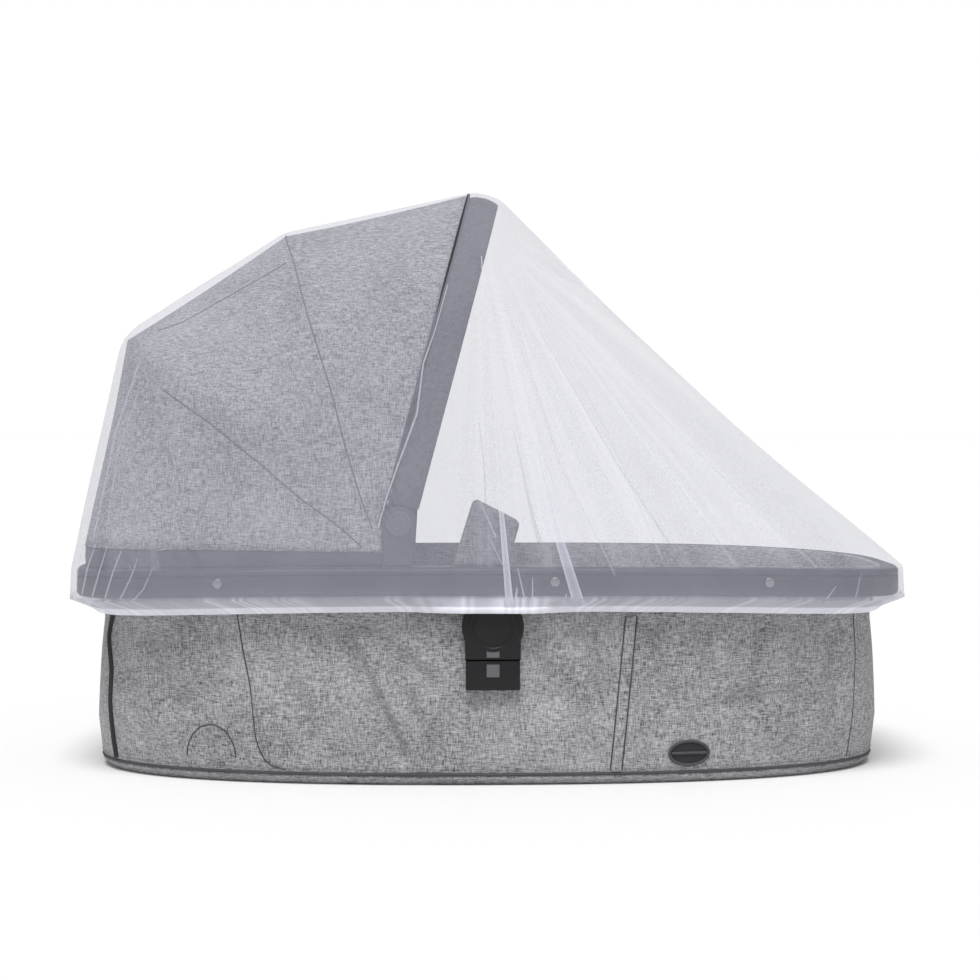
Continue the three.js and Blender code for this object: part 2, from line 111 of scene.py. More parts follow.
def oval_arc(length, width, square, start_x, end, count):
    """Evenly spaced points from start_x on the near side, round one end, to the far side."""
    share = end * start_x / length
    steep = square / 2
    low = math.atan2(float(narrowing(share, square)) ** steep, math.copysign(abs(share) ** steep, share))
    turn = np.linspace(-low, low, 6001)
    c, s = np.cos(turn), np.sin(turn)
    power = 2 / square
    x = end * length * np.sign(c) * np.abs(c) ** power
    y = width * np.sign(s) * np.abs(s) ** power
    run = np.concatenate([[0], np.cumsum(np.hypot(np.diff(x), np.diff(y)))])
    want = np.linspace(0, run[-1], count)
    return np.stack([np.interp(want, run, x), np.interp(want, run, y)], axis=1)


def oval_ring(length, width, square, count=RIM_ROUND):
    half = oval_arc(length, width, square, 0, 1, count // 2 + 1)
    back = half[::-1][1:-1] * np.array([-1, 1])
    return np.roll(np.concatenate([half, back]), count // 2, axis=0)


def raised(ring, heights):
    return np.concatenate([ring, np.broadcast_to(heights, (len(ring),))[:, None]], axis=1)


def grid_faces(count, across, closed=False, start=0):
    """The faces between rows of points, as the numbers of the points."""
    faces = []
    for i in range(count - 1):
        here, above = start + i * across, start + (i + 1) * across
        for j in range(across if closed else across - 1):
            k = (j + 1) % across
            faces.append((here + j, here + k, above + k, above + j))
    return faces


def cloth_mesh(name, rows, closed=False, smooth=True, level=0):
    """A mesh of rows of points in millimetres; its uv map measures metres along the rows, and
    across them from the row numbered level."""
    rows = np.asarray(rows, float) * MM
    count, across = rows.shape[:2]
    u = np.zeros((count, across + (1 if closed else 0)))
    ringed = np.concatenate([rows, rows[:, :1]], axis=1) if closed else rows
    u[:, 1:] = np.cumsum(np.linalg.norm(np.diff(ringed, axis=1), axis=2), axis=1)
    u -= u[:, across // 2][:, None]
    v = np.zeros_like(u)
    v[1:] = np.cumsum(np.linalg.norm(np.diff(ringed, axis=0), axis=2), axis=0)
    v -= v[level].copy()
    mesh = bpy.data.meshes.new(name)
    faces = grid_faces(count, across, closed)
    corners = []
    for i in range(count - 1):
        for j in range(across if closed else across - 1):
            for place in ((i, j), (i, j + 1), (i + 1, j + 1), (i + 1, j)):
                corners.append((u[place], v[place]))
    mesh.from_pydata([tuple(p) for p in rows.reshape(-1, 3)], [], faces)
    layer = mesh.uv_layers.new(name="cloth")
    layer.data.foreach_set("uv", np.array(corners, np.float32).ravel())
    mesh.polygons.foreach_set("use_smooth", [smooth] * len(faces))
    mesh.update()
    thing = bpy.data.objects.new(name, mesh)
    scene.collection.objects.link(thing)
    return thing


def set_smooth(thing, angle=None):
    """Shades every face smooth, with edges sharper than the angle left sharp."""
    thing.data.polygons.foreach_set("use_smooth", [True] * len(thing.data.polygons))
    if angle is not None:
        thing.data.set_sharp_from_angle(angle=math.radians(angle))


def outward(thing):
    """Merges doubles and turns every face outwards."""
    made = bmesh.new()
    made.from_mesh(thing.data)
    bmesh.ops.remove_doubles(made, verts=made.verts, dist=1e-6)
    bmesh.ops.recalc_face_normals(made, faces=made.faces)
    made.to_mesh(thing.data)
    made.free()
    thing.data.update()


def shader(name):
    material = bpy.data.materials.new(name)
    material.use_nodes = True
    tree = material.node_tree
    return material, tree.nodes, tree.links, tree.nodes["Principled BSDF"]


def number_group(name, inputs, outputs):
    """A group of shader nodes whose sockets all carry numbers."""
    group = bpy.data.node_groups.new(name, "ShaderNodeTree")
    for socket, start in inputs.items():
        made = group.interface.new_socket(socket, in_out="INPUT", socket_type="NodeSocketFloat")
        made.default_value = start
    for socket in outputs:
        group.interface.new_socket(socket, in_out="OUTPUT", socket_type="NodeSocketFloat")
    given, out = group.nodes.new("NodeGroupInput"), group.nodes.new("NodeGroupOutput")
    return group, group.nodes, group.links, given, out


def tinted(nodes, links, surface, mask, dark, light):
    """Colours a surface from dark to light by a mask."""
    tint = nodes.new("ShaderNodeMix")
    tint.data_type = "RGBA"
    tint.inputs["A"].default_value, tint.inputs["B"].default_value = (*dark, 1), (*light, 1)
    links.new(mask, tint.inputs["Factor"])
    links.new(tint.outputs["Result"], surface.inputs["Base Color"])


def roughened(nodes, links, surface, mask, at_none, at_full):
    """Sets how rough a surface is by a mask."""
    spread = nodes.new("ShaderNodeMapRange")
    spread.inputs["To Min"].default_value, spread.inputs["To Max"].default_value = at_none, at_full
    links.new(mask, spread.inputs["Value"])
    links.new(spread.outputs["Result"], surface.inputs["Roughness"])


def bumped(nodes, links, surface, height, strength, distance):
    """Lets a height stand out on a surface."""
    raise_it = nodes.new("ShaderNodeBump")
    raise_it.inputs["Strength"].default_value = strength
    raise_it.inputs["Distance"].default_value = distance
    links.new(height, raise_it.inputs["Height"])
    links.new(raise_it.outputs["Normal"], surface.inputs["Normal"])


def grain_group():
    """Fine moulded grain: a mask of worn patches and a height for bump, on object coordinates."""
    sizes = {"Grain": 900.0, "Patch": 18.0}
    group, nodes, links, given, out = number_group("moulded_grain", sizes, ("Wear", "Height"))
    place = nodes.new("ShaderNodeTexCoord")
    for scale, result in (("Grain", "Height"), ("Patch", "Wear")):
        noise = nodes.new("ShaderNodeTexNoise")
        links.new(place.outputs["Object"], noise.inputs["Vector"])
        links.new(given.outputs[scale], noise.inputs["Scale"])
        links.new(noise.outputs["Fac"], out.inputs[result])
    return group


moulded_grain = grain_group()


def plastic(name, dark, light, matt, glossy, bump):
    material, nodes, links, surface = shader(name)
    surface.inputs["Specular IOR Level"].default_value = 0.25
    grain = nodes.new("ShaderNodeGroup")
    grain.node_tree = moulded_grain
    tinted(nodes, links, surface, grain.outputs["Wear"], dark, light)
    roughened(nodes, links, surface, grain.outputs["Wear"], matt, glossy)
    bumped(nodes, links, surface, grain.outputs["Height"], bump, 0.0002)
    return material


rim_plastic = plastic("rim_plastic", (0.035, 0.036, 0.042), (0.055, 0.057, 0.064), 0.5, 0.38, 0.15)

# The rail's cross-section: how far in from the outer face, how far below the top
RIM_SECTION = [
    (5, 0), (2.4, 0.7), (0.7, 2.4), (0, 5), (0, 6.4), (0.9, 7.1), (0.9, 8.1), (0, 8.8),
    (0, 23), (0.7, 25.6), (2.4, 27.3), (5, 28), (11, 28), (13.6, 27.3), (15.3, 25.6), (16, 23),
    (16, 5), (15.3, 2.4), (13.6, 0.7), (11, 0),
]
rings = []
for inset, below in [*RIM_SECTION, RIM_SECTION[0]]:
    ring = oval_ring(RIM["length"] - inset, RIM["width"] - inset, RIM["square"])
    rings.append(raised(ring, rim_top(ring[:, 0]) - below))
rim = cloth_mesh("rim_rail", rings, closed=True)
outward(rim)
set_smooth(rim, 40)
rim.data.materials.append(rim_plastic)
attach(rim, "root")
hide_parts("rim")

# Tub
# Grey melange cloth, sewn in panels over stiff walls, with a flat floor, an end panel set in with
# dark piping, a flange sewn round the bottom and a raised strip down the foot side.
TUB_LEVELS = [  # height, half length, half width, squareness
    (0, 380, 174, 2.4), (7, 388, 182, 2.4), (50, 391, 185, 2.6), (120, 386, 184, 3.0),
    (150, 383, 181, 3.2), (172, 385, 181, 3.3), (208, 392.7, 183.7, 3.5),
]
TUB_WALL, TUB_FLOOR, INNER_SPARE = 4.0, 6.0, 1.2
FLANGE = {"z": 10.5, "half": 1.3, "deep": 1.6}
# The wall's slow swell: how far out, between which heights, and its wave's length over two pi
SWELL = {"out": 1.1, "from": 13, "to": 150, "wave": 62.0}
# Soft troughs in the near and far walls: from x, z to x, z, half width, depth
TUB_CREASES = [
    (-146, 150, -84, 20, 9.3, 11.2), (-122, 156, -52, 92, 6.8, 7.2), (-104, 120, -60, 40, 8.5, 5.8),
    (-170, 156, -150, 100, 10.2, 5.4), (-254, 150, -262, 84, 10.2, 5.8), (-336, 150, -306, 64, 11.9, 7.2),
    (-310, 70, -262, 96, 8.5, 3.6), (-206, 120, -168, 40, 11, 5.4), (-356, 110, -340, 30, 7.6, 4.5),
    (34, 156, 52, 70, 11, 6.8), (70, 96, 96, 20, 10.2, 5.4), (94, 156, 106, 64, 6.8, 4.5),
    (150, 156, 166, 80, 8.5, 5.8), (196, 156, 214, 92, 6.8, 5.8), (232, 140, 246, 40, 9.3, 4.9),
    (262, 156, 256, 60, 7.6, 6.8), (290, 156, 304, 50, 8.5, 5.8), (330, 150, 336, 56, 7.6, 5.4),
    (-30, 84, -66, 14, 11, 4.9), (206, 70, 300, 84, 8.5, 3.6),
]


def tub_oval(z):
    table = np.array(TUB_LEVELS, float)
    return [np.interp(z, table[:, 0], table[:, k]) for k in (1, 2, 3)]


def swell(x, z):
    """How far the wall's cloth stands out at a height, between its flange and its top."""
    share = min(1, max(0, (z - SWELL["from"]) / (SWELL["to"] - SWELL["from"])))
    return SWELL["out"] * math.sin(math.pi * share) * np.cos(x / SWELL["wave"])


def trough(x, z):
    """How deep the creases are at a place on a wall, seen from the side."""
    depth = np.zeros_like(x)
    for x0, z0, x1, z1, wide, deep in TUB_CREASES:
        along = np.array([x1 - x0, z1 - z0], float)
        reach = np.hypot(*along)
        along /= reach
        run = (x - x0) * along[0] + (z - z0) * along[1]
        side = (x - x0) * along[1] - (z - z0) * along[0]
        ends = np.clip(np.minimum(run, reach - run) / 30 + 0.5, 0, 1)
        depth += deep * ends * ends * (3 - 2 * ends) * np.exp(-((side / wide) ** 2))
    return depth


def outwards(ring):
    """The way out from an oval's middle at each point, turned towards its long sides."""
    away = ring * np.array([0.5, 1.0])
    return away / np.linalg.norm(away, axis=1)[:, None]


def drawn_in(ring, z, width):
    """How far the creases draw in each point of a ring, on its long sides only."""
    deep = trough(ring[:, 0], np.full(len(ring), z))
    return deep * (np.abs(ring[:, 1]) > 0.35 * width)


def maths(nodes, links):
    """Gives a function that adds a maths node and returns its value."""
    def calc(operation, a, b=None):
        node = nodes.new("ShaderNodeMath")
        node.operation = operation
        for socket, value in zip(node.inputs, (a, b)):
            if isinstance(value, (int, float)):
                socket.default_value = value
            elif value is not None:
                links.new(value, socket)
        return node.outputs["Value"]

    return calc


def weave_group():
    """Melange weave: level slubs and upright slubs, uneven over the whole, and the threads' height."""
    sizes = {"Threads": 900.0, "Slub": 150.0, "Contrast": 1.0}
    group, nodes, links, given, out = number_group("melange_weave", sizes, ("Shade", "Height"))
    place = nodes.new("ShaderNodeTexCoord")
    calc = maths(nodes, links)

    def slubs(level, upright):
        size, stretched = nodes.new("ShaderNodeCombineXYZ"), nodes.new("ShaderNodeVectorMath")
        for axis, by in (("X", level), ("Y", level), ("Z", upright)):
            links.new(given.outputs[by], size.inputs[axis])
        stretched.operation = "MULTIPLY"
        links.new(place.outputs["Object"], stretched.inputs[0])
        links.new(size.outputs["Vector"], stretched.inputs[1])
        noise = nodes.new("ShaderNodeTexNoise")
        links.new(stretched.outputs["Vector"], noise.inputs["Vector"])
        noise.inputs["Scale"].default_value, noise.inputs["Detail"].default_value = 1.0, 2.5
        return noise.outputs["Fac"]

    mottle = nodes.new("ShaderNodeTexNoise")
    mottle.inputs["Scale"].default_value = 13
    links.new(place.outputs["Object"], mottle.inputs["Vector"])
    level, upright = slubs("Slub", "Threads"), slubs("Threads", "Slub")
    uneven = calc("MULTIPLY", calc("SUBTRACT", mottle.outputs["Fac"], 0.5), 0.3)
    both = calc("SUBTRACT", calc("ADD", level, upright), 1.0)
    strong = calc("MULTIPLY", both, given.outputs["Contrast"])
    shade = nodes.new("ShaderNodeMapRange")
    shade.inputs["From Min"].default_value, shade.inputs["From Max"].default_value = -0.32, 0.32
    links.new(calc("ADD", strong, uneven), shade.inputs["Value"])
    links.new(shade.outputs["Result"], out.inputs["Shade"])
    links.new(calc("MAXIMUM", level, upright), out.inputs["Height"])
    return group


melange_weave = weave_group()


def melange(name, dark, light, threads, slub, contrast):
    material, nodes, links, surface = shader(name)
    weave = nodes.new("ShaderNodeGroup")
    weave.node_tree = melange_weave
    weave.inputs["Threads"].default_value = threads
    weave.inputs["Slub"].default_value = slub
    weave.inputs["Contrast"].default_value = contrast
    tinted(nodes, links, surface, weave.outputs["Shade"], dark, light)
    roughened(nodes, links, surface, weave.outputs["Shade"], 0.98, 0.82)
    surface.inputs["Sheen Weight"].default_value = 0.1
    surface.inputs["Sheen Roughness"].default_value = 0.5
    bumped(nodes, links, surface, weave.outputs["Height"], 0.25, 0.0003)
    return material


tub_melange = melange("tub_melange", (0.045, 0.044, 0.049), (0.50, 0.495, 0.515), 1000, 150, 0.9)


def capped(thing):
    """Closes the open ends of a mesh and turns every face outwards."""
    made = bmesh.new()
    made.from_mesh(thing.data)
    bmesh.ops.holes_fill(made, edges=[edge for edge in made.edges if edge.is_boundary], sides=0)
    made.to_mesh(thing.data)
    made.free()
    outward(thing)


TUB_ROUND = 480
FLANGE_LEVELS = [0.0, 1.0, 3.5, 7.0, 9.5, 10.5, 11.5, 13.0]
OUTER_LEVELS = [*FLANGE_LEVELS, *np.linspace(18, 150, 34), *np.linspace(154, 200, 12)]
rings = []
length, width, square = TUB_LEVELS[0][1:]
for share in (0.1, 0.5):
    rings.append(raised(oval_ring(length * share, width * share, square, TUB_ROUND), 0))
for z in OUTER_LEVELS:
    length, width, square = tub_oval(z)
    ring = oval_ring(length, width, square, TUB_ROUND)
    push = -FLANGE["deep"] * math.exp(-(((z - FLANGE["z"]) / FLANGE["half"]) ** 2))
    push = push - drawn_in(ring, z, width) + swell(ring[:, 0], z)
    rings.append(raised(ring + outwards(ring) * push[:, None], z))
length, width, square = TUB_LEVELS[-1][1:]
for inset, below in ((0.0, 2.0), (1.1, 0.0), (2.9, 0.0)):
    lip = oval_ring(length - inset, width - inset, square, TUB_ROUND)
    rings.append(raised(lip, rim_top(lip[:, 0]) - below))
for z in np.linspace(200, 14, 16):
    length, width, square = tub_oval(z)
    ring = oval_ring(length - TUB_WALL, width - TUB_WALL, square, TUB_ROUND)
    inward = drawn_in(ring, z, width) + INNER_SPARE
    rings.append(raised(ring - np.stack([0 * inward, np.sign(ring[:, 1]) * inward], axis=1), z))
length, width, square = tub_oval(TUB_FLOOR)
for share in (1.0, 0.97, 0.8, 0.55, 0.3, 0.1):
    floor_ring = oval_ring((length - TUB_WALL) * share, (width - TUB_WALL) * share, square, TUB_ROUND)
    rings.append(raised(floor_ring, TUB_FLOOR))
tub = cloth_mesh("tub_cloth", rings, closed=True, level=9)
capped(tub)
set_smooth(tub, 50)
tub.data.materials.append(tub_melange)
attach(tub, "root")
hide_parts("tub")

# Tub seams and piping
# Dark piping is sewn into the end panel's seam and round the bottom flange; the panel seams are
# thin dark lines with a row of stitches beside them.
PIPING_ROUND = 8


def shape_tree(name, numbers):
    """A tree of geometry nodes that takes a geometry, numbers and a material."""
    tree = bpy.data.node_groups.new(name, "GeometryNodeTree")
    face = tree.interface
    face.new_socket("Geometry", in_out="INPUT", socket_type="NodeSocketGeometry")
    for socket, start in numbers.items():
        face.new_socket(socket, in_out="INPUT", socket_type="NodeSocketFloat").default_value = start
    face.new_socket("Material", in_out="INPUT", socket_type="NodeSocketMaterial")
    face.new_socket("Geometry", in_out="OUTPUT", socket_type="NodeSocketGeometry")
    return tree, tree.nodes, tree.links, tree.nodes.new("NodeGroupInput")


def finished(tree, given, geometry, smooth):
    """Gives what a tree has made its material and hands it out."""
    if smooth:
        soft = tree.nodes.new("GeometryNodeSetShadeSmooth")
        tree.links.new(geometry, soft.inputs["Geometry"])
        geometry = soft.outputs["Geometry"]
    finish, out = tree.nodes.new("GeometryNodeSetMaterial"), tree.nodes.new("NodeGroupOutput")
    tree.links.new(geometry, finish.inputs["Geometry"])
    tree.links.new(given.outputs["Material"], finish.inputs["Material"])
    tree.links.new(finish.outputs["Geometry"], out.inputs["Geometry"])
    return tree


def balls(nodes, links, points, facing, sizes, segments, rings):
    """A stretched ball on each point, its pole turned to a direction."""
    ball, lay = nodes.new("GeometryNodeMeshUVSphere"), nodes.new("GeometryNodeInstanceOnPoints")
    ball.inputs["Segments"].default_value, ball.inputs["Rings"].default_value = segments, rings
    ball.inputs["Radius"].default_value = 1.0
    size = nodes.new("ShaderNodeCombineXYZ")
    for axis, by in zip("XYZ", sizes):
        links.new(by, size.inputs[axis])
    lie = nodes.new("FunctionNodeAlignRotationToVector")
    lie.axis = "Z"
    links.new(facing, lie.inputs["Vector"])
    links.new(points, lay.inputs["Points"])
    links.new(ball.outputs["Mesh"], lay.inputs["Instance"])
    links.new(lie.outputs["Rotation"], lay.inputs["Rotation"])
    links.new(size.outputs["Vector"], lay.inputs["Scale"])
    real = nodes.new("GeometryNodeRealizeInstances")
    links.new(lay.outputs["Instances"], real.inputs["Geometry"])
    return real.outputs["Geometry"]


def cord_along_paths():
    tree, nodes, links, given = shape_tree("piping_along_a_path", {"Radius": 0.001})
    ring, sweep = nodes.new("GeometryNodeCurvePrimitiveCircle"), nodes.new("GeometryNodeCurveToMesh")
    ring.inputs["Resolution"].default_value = PIPING_ROUND
    links.new(given.outputs["Radius"], ring.inputs["Radius"])
    sweep.inputs["Fill Caps"].default_value = True
    links.new(given.outputs["Geometry"], sweep.inputs["Curve"])
    links.new(ring.outputs["Curve"], sweep.inputs["Profile Curve"])
    return finished(tree, given, sweep.outputs["Mesh"], True)


def stitches_along_paths():
    numbers = {"Radius": 0.001, "Pitch": 0.0045, "Length": 0.003}
    tree, nodes, links, given = shape_tree("stitches_along_a_path", numbers)
    points, heading = nodes.new("GeometryNodeResampleCurve"), nodes.new("GeometryNodeInputTangent")
    points.mode = "LENGTH"
    links.new(given.outputs["Geometry"], points.inputs["Curve"])
    links.new(given.outputs["Pitch"], points.inputs["Length"])
    half = maths(nodes, links)("MULTIPLY", given.outputs["Length"], 0.5)
    sizes = (given.outputs["Radius"], given.outputs["Radius"], half)
    made = balls(nodes, links, points.outputs["Curve"], heading.outputs["Tangent"], sizes, 6, 4)
    return finished(tree, given, made, False)


piping_tree = cord_along_paths()
stitch_tree = stitches_along_paths()


def through_tree(name, data, tree, material, **sizes):
    """Puts a curve or points through a tree of geometry nodes and keeps the plain mesh."""
    holder = bpy.data.objects.new(data.name, data)
    scene.collection.objects.link(holder)
    modifier = holder.modifiers.new("tree", "NODES")
    modifier.node_group = tree
    sizes["Material"] = material
    for socket in tree.interface.items_tree:
        if socket.in_out == "INPUT" and socket.name in sizes:
            modifier[socket.identifier] = sizes[socket.name]
    bpy.context.view_layer.update()
    graph = bpy.context.evaluated_depsgraph_get()
    laid = holder.evaluated_get(graph)
    mesh = bpy.data.meshes.new_from_object(laid, preserve_all_data_layers=True, depsgraph=graph)
    mesh.name = name
    thing = bpy.data.objects.new(name, mesh)
    scene.collection.objects.link(thing)
    bpy.data.objects.remove(holder)
    if not len(mesh.materials):
        mesh.materials.append(material)
    return thing


def along_paths(name, tree, paths, material, **sizes):
    """Runs a path tree over lines of points in millimetres, each open or closed."""
    curve = bpy.data.curves.new(name + "_path", "CURVE")
    curve.dimensions = "3D"
    for points, closed in paths:
        line = curve.splines.new("POLY")
        line.points.add(len(points) - 1)
        with_weights = np.concatenate([np.asarray(points) * MM, np.ones((len(points), 1))], axis=1)
        line.points.foreach_set("co", with_weights.ravel())
        line.use_cyclic_u = closed
    return through_tree(name, curve, tree, material, **sizes)


def on_wall(x, z, side, out_by):
    """A point on the tub's wall, out_by in front of its cloth."""
    length, width, square = tub_oval(z)
    deep = float(trough(np.array([x]), np.array([z]))[0])
    out = swell(x, z) - deep + out_by
    return (x, side * (width * float(narrowing(x / length, square)) + out), z)


def spaced(table, step, least):
    """The columns of a table that starts with x and z, at even places along its line."""
    table = np.array(table, float)
    run = np.concatenate([[0], np.cumsum(np.hypot(*np.diff(table[:, :2], axis=0).T))])
    places = np.linspace(0, run[-1], max(least, int(run[-1] / step)))
    return [np.interp(places, run, column) for column in table.T]


def side_line(table, side, out_by, step=3.0):
    """A line over the tub's wall on one side, through a table of x and z, softened at its bends."""
    x, z = spaced(table, step, 4)
    for _ in range(12):
        x[1:-1] = (x[:-2] + 2 * x[1:-1] + x[2:]) / 4
        z[1:-1] = (z[:-2] + 2 * z[1:-1] + z[2:]) / 4
    return [on_wall(a, b, side, out_by) for a, b in zip(x, z)]


def wall_ring(z, out_by, count=360):
    length, width, square = tub_oval(z)
    return raised(oval_ring(length + out_by, width + out_by, square, count), z)


# The dark cord cloth also fills the eyelet and the gap beside the hood's band, partly as painted shade there.
piping_and_painted_shade_cloth = plastic("piping_and_painted_shade_cloth", (0.02, 0.02, 0.022), (0.04, 0.04, 0.043), 0.75, 0.65, 0.3)
# The dark seam thread also lies beside the foot strip, partly as painted shadow there.
seam_shade = plastic("seam_thread_dark", (0.05, 0.05, 0.053), (0.09, 0.09, 0.095), 0.9, 0.85, 0.3)
stitch_thread = plastic("stitch_thread_grey", (0.16, 0.16, 0.17), (0.24, 0.24, 0.25), 0.8, 0.7, 0.2)

END_PIPING = [(-361, 176), (-368, 150), (-372, 134), (-368, 104), (-371, 70), (-368, 30), (-366, 14)]
PANEL_SEAM = [(-242, 168), (-236, 130), (-229, 95), (-226, 62), (-224, 40), (-214, 18), (-196, 14)]
FOOT_SEAM = [(352, 168), (356, 120), (355, 60), (350, 14)]
STITCH = {"Radius": 0.00035, "Pitch": 0.0042, "Length": 0.003}
ends = [(side_line(END_PIPING, side, 0.6), False) for side in (-1, 1)]
end_piping = along_paths("end_panel_piping", piping_tree, ends, piping_and_painted_shade_cloth, Radius=0.0031)
bottom = [(wall_ring(10.6, -0.6), True)]
bottom_piping = along_paths("bottom_piping", piping_tree, bottom, seam_shade, Radius=0.0015)

# A half-round slot in the wall, standing on z, bound with an edge that is stitched inside
SLOT = {"x": -267.6, "z": 24.0, "half": 24.0, "high": 32.0, "edge": 4.0}


def slot_arc(inset):
    """The slot's edge, or a line so far inside it."""
    half, high = SLOT["half"] - inset, SLOT["high"] - inset
    turns = np.linspace(0, math.pi, 40)
    return [(SLOT["x"] - half * math.cos(turn), SLOT["z"] + high * math.sin(turn)) for turn in turns]


seam_paths, stitch_paths = [], []
for side in (-1, 1):
    for table in (PANEL_SEAM, FOOT_SEAM):
        seam_paths.append((side_line(table, side, 0.15), False))
        stitch_paths.append((side_line([(x + 4, z) for x, z in table], side, 0.3), False))
    seam_paths.append((side_line(slot_arc(0), side, 0.2, 1.5), False))
    stitch_paths.append((side_line(slot_arc(SLOT["edge"]), side, 0.3, 1.5), False))
stitch_paths.append((wall_ring(15.5, 0.3, 720), True))
panel_seams = along_paths("panel_seams", piping_tree, seam_paths, seam_shade, Radius=0.0006)
tub_stitches = along_paths("tub_stitches", stitch_tree, stitch_paths, stitch_thread, **STITCH)
for thing in (end_piping, bottom_piping, panel_seams, tub_stitches):
    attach(thing, "root")

# A folded strip of cloth sewn flat down the wall near the foot, its edges turned under
STRIP = {"from": (117, 14), "to": (131, 160), "wide": 9.8, "proud": 1.8, "edge": 5.6}


def wall_strip(name, side):
    proud = STRIP["proud"]
    section = [(-0.5, -0.6), (-0.47, proud * 0.7), (-0.4, proud), (0, proud * 1.15)]
    section += [(-aside, out_by) for aside, out_by in section[2::-1]]
    rows = []
    for share in np.linspace(0, 1, 60):
        x, z = (np.interp(share, [0, 1], [STRIP["from"][k], STRIP["to"][k]]) for k in (0, 1))
        row = [on_wall(x + aside * STRIP["wide"], z, side, out_by) for aside, out_by in section]
        rows.append(row[::-side])
    strip = cloth_mesh(name, rows)
    strip.data.materials.append(tub_melange)
    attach(strip, "root")
    return strip


# Dark lines just outside both edges of the strip: partly the seams that hold it down, partly painted shadow
# where the raised strip shades the wall.
edge_x, edge_z = (np.linspace(low, high, 40) for low, high in zip(STRIP["from"], STRIP["to"]))
strip_edges = []
for side in (-1, 1):
    for aside in (-STRIP["edge"], STRIP["edge"]):
        strip_edges.append(([on_wall(x + aside, z, side, 0.1) for x, z in zip(edge_x, edge_z)], False))
strip_seams_and_shadow = along_paths("foot_strip_seams_and_shadow", piping_tree, strip_edges, seam_shade, Radius=0.0006)
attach(strip_seams_and_shadow, "root")
strips = [wall_strip(f"foot_strip_{label}", side) for label, side in (("near", -1), ("far", 1))]

# An oval eyelet near the foot: a moulded ring with a bar across it, filled with a dark sheet that is partly
# its black fins and partly painted shade for the opening
EYELET = {"x": 187.0, "z": 29.0, "half_x": 19.0, "half_z": 11.5, "bar": 17.0}


def eyelet_oval(grow, side, out_by):
    points = []
    for turn in np.linspace(0, 2 * math.pi, 49)[:-1]:
        x = EYELET["x"] + EYELET["half_x"] * grow * math.cos(turn)
        z = EYELET["z"] + EYELET["half_z"] * grow * math.sin(turn)
        points.append(on_wall(x, z, side, out_by))
    return points


eyelets = []
for label, side in (("near", -1), ("far", 1)):
    # The dark sheet across the ring: painted shade for the opening, with its black fins.
    web = [eyelet_oval(grow, side, 0.5)[::side] for grow in (0.02, 0.35, 0.7, 1.0)]
    eyelets.append(cloth_mesh(f"eyelet_opening_shade_and_fins_{label}", web, closed=True))
    eyelets[-1].data.materials.append(piping_and_painted_shade_cloth)
    bar_x = EYELET["x"] + np.linspace(-EYELET["bar"], EYELET["bar"], 12)
    bar = [on_wall(x, EYELET["z"], side, 1.0) for x in bar_x]
    lines = [(eyelet_oval(1, side, 0.8), True), (bar, False)]
    eyelets.append(along_paths(f"eyelet_ring_{label}", piping_tree, lines, seam_shade, Radius=0.0014))
for thing in eyelets:
    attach(thing, "root")

# Hood
# Grey melange cloth stretched over three hoops that turn on one pivot a side; a seam lies on each
# hoop and one runs along each shoulder between the two rear hoops.
PIVOT = {"x": -88.0, "height": 40.0}
BOW = {"width": 193.0, "square": 3.2}
HOOPS = {"front": (-4.0, 356.0), "middle": (-201.0, 319.0), "back": (-358.0, 216.0)}
HOOP_START = {"front": 18.0, "middle": 28.0, "back": 20.0}  # how far from the pivot the cloth starts
BAND = {"wide": 29.0, "gap": 1.7}
HOOD = {"hem_gap": 1.0, "rim_gap": 0.5, "hem": 19.0, "front_hem": 12.0, "start_x": -104.0}
HOOD_ACROSS, PANEL_ROWS = 160, 16
PANEL_SLACK = (1.6, 1.4, 1.6)  # from the band to the hem
pivot = np.array([PIVOT["x"], 0, RIM["top"] + PIVOT["height"]])


def hoop_way(hoop):
    way = np.array([hoop[0] - PIVOT["x"], 0, hoop[1] - PIVOT["height"]])
    return way / np.linalg.norm(way), np.linalg.norm(way)


def behind(hoop):
    way, _ = hoop_way(hoop)
    return np.array([-way[2], 0, way[0]])


def hoop_line(hoop, start, across, out_by=0.0):
    """Points of a hoop, across from -1 at the near pivot over the crest to 1 at the far one."""
    way, reach = hoop_way(hoop)
    turn = (1 - np.abs(across)) * math.pi / 2
    power = 2 / BOW["square"]
    height = np.sin(turn) ** power
    y = np.sign(across) * (BOW["width"] + out_by) * np.maximum(0, np.cos(turn)) ** power
    radius = start + (reach + out_by - start) * height
    return pivot + radius[:, None] * way + np.stack([0 * y, y, 0 * y], axis=1)


def hood_hem(rise, count, inset=0.0):
    length, width = RIM["length"] - RIM["wide"] / 2, RIM["width"] - RIM["wide"] / 2
    points = oval_arc(length - inset, width - inset, RIM["square"], HOOD["start_x"], -1, count)
    forward = (points[:, 0] + length) / (HOOD["start_x"] + length)
    height = HOOD["hem"] + (HOOD["front_hem"] - HOOD["hem"]) * forward
    return raised(points, rim_top(points[:, 0]) + HOOD["rim_gap"] + rise * height)


across = np.linspace(-1, 1, HOOD_ACROSS + 1)
front_line, middle_line, back_line = (hoop_line(HOOPS[name], HOOP_START[name], across) for name in HOOPS)
front_line += behind(HOOPS["front"]) * (BAND["wide"] / 2 + BAND["gap"])
hem_line = hood_hem(1, HOOD_ACROSS + 1) + np.array([0, 0, HOOD["hem_gap"]])
inside = np.array([-150.0, 0, RIM["top"] + 60])


def walled(thing, thick, way):
    """Gives a cloth its thickness in millimetres, inwards for -1 and outwards for 1."""
    wall = thing.modifiers.new("wall", "SOLIDIFY")
    wall.thickness, wall.offset = thick * MM, way


def slack(rows, depth):
    """Lets a panel sink a little towards the inside between its hoops."""
    sunk = []
    for share, row in rows:
        away = row - inside
        away /= np.linalg.norm(away, axis=1)[:, None]
        height = np.clip((row[:, 2] - RIM["top"] - 30) / 120, 0, 1)
        sunk.append(row - away * (depth * math.sin(math.pi * share) * height)[:, None])
    return sunk


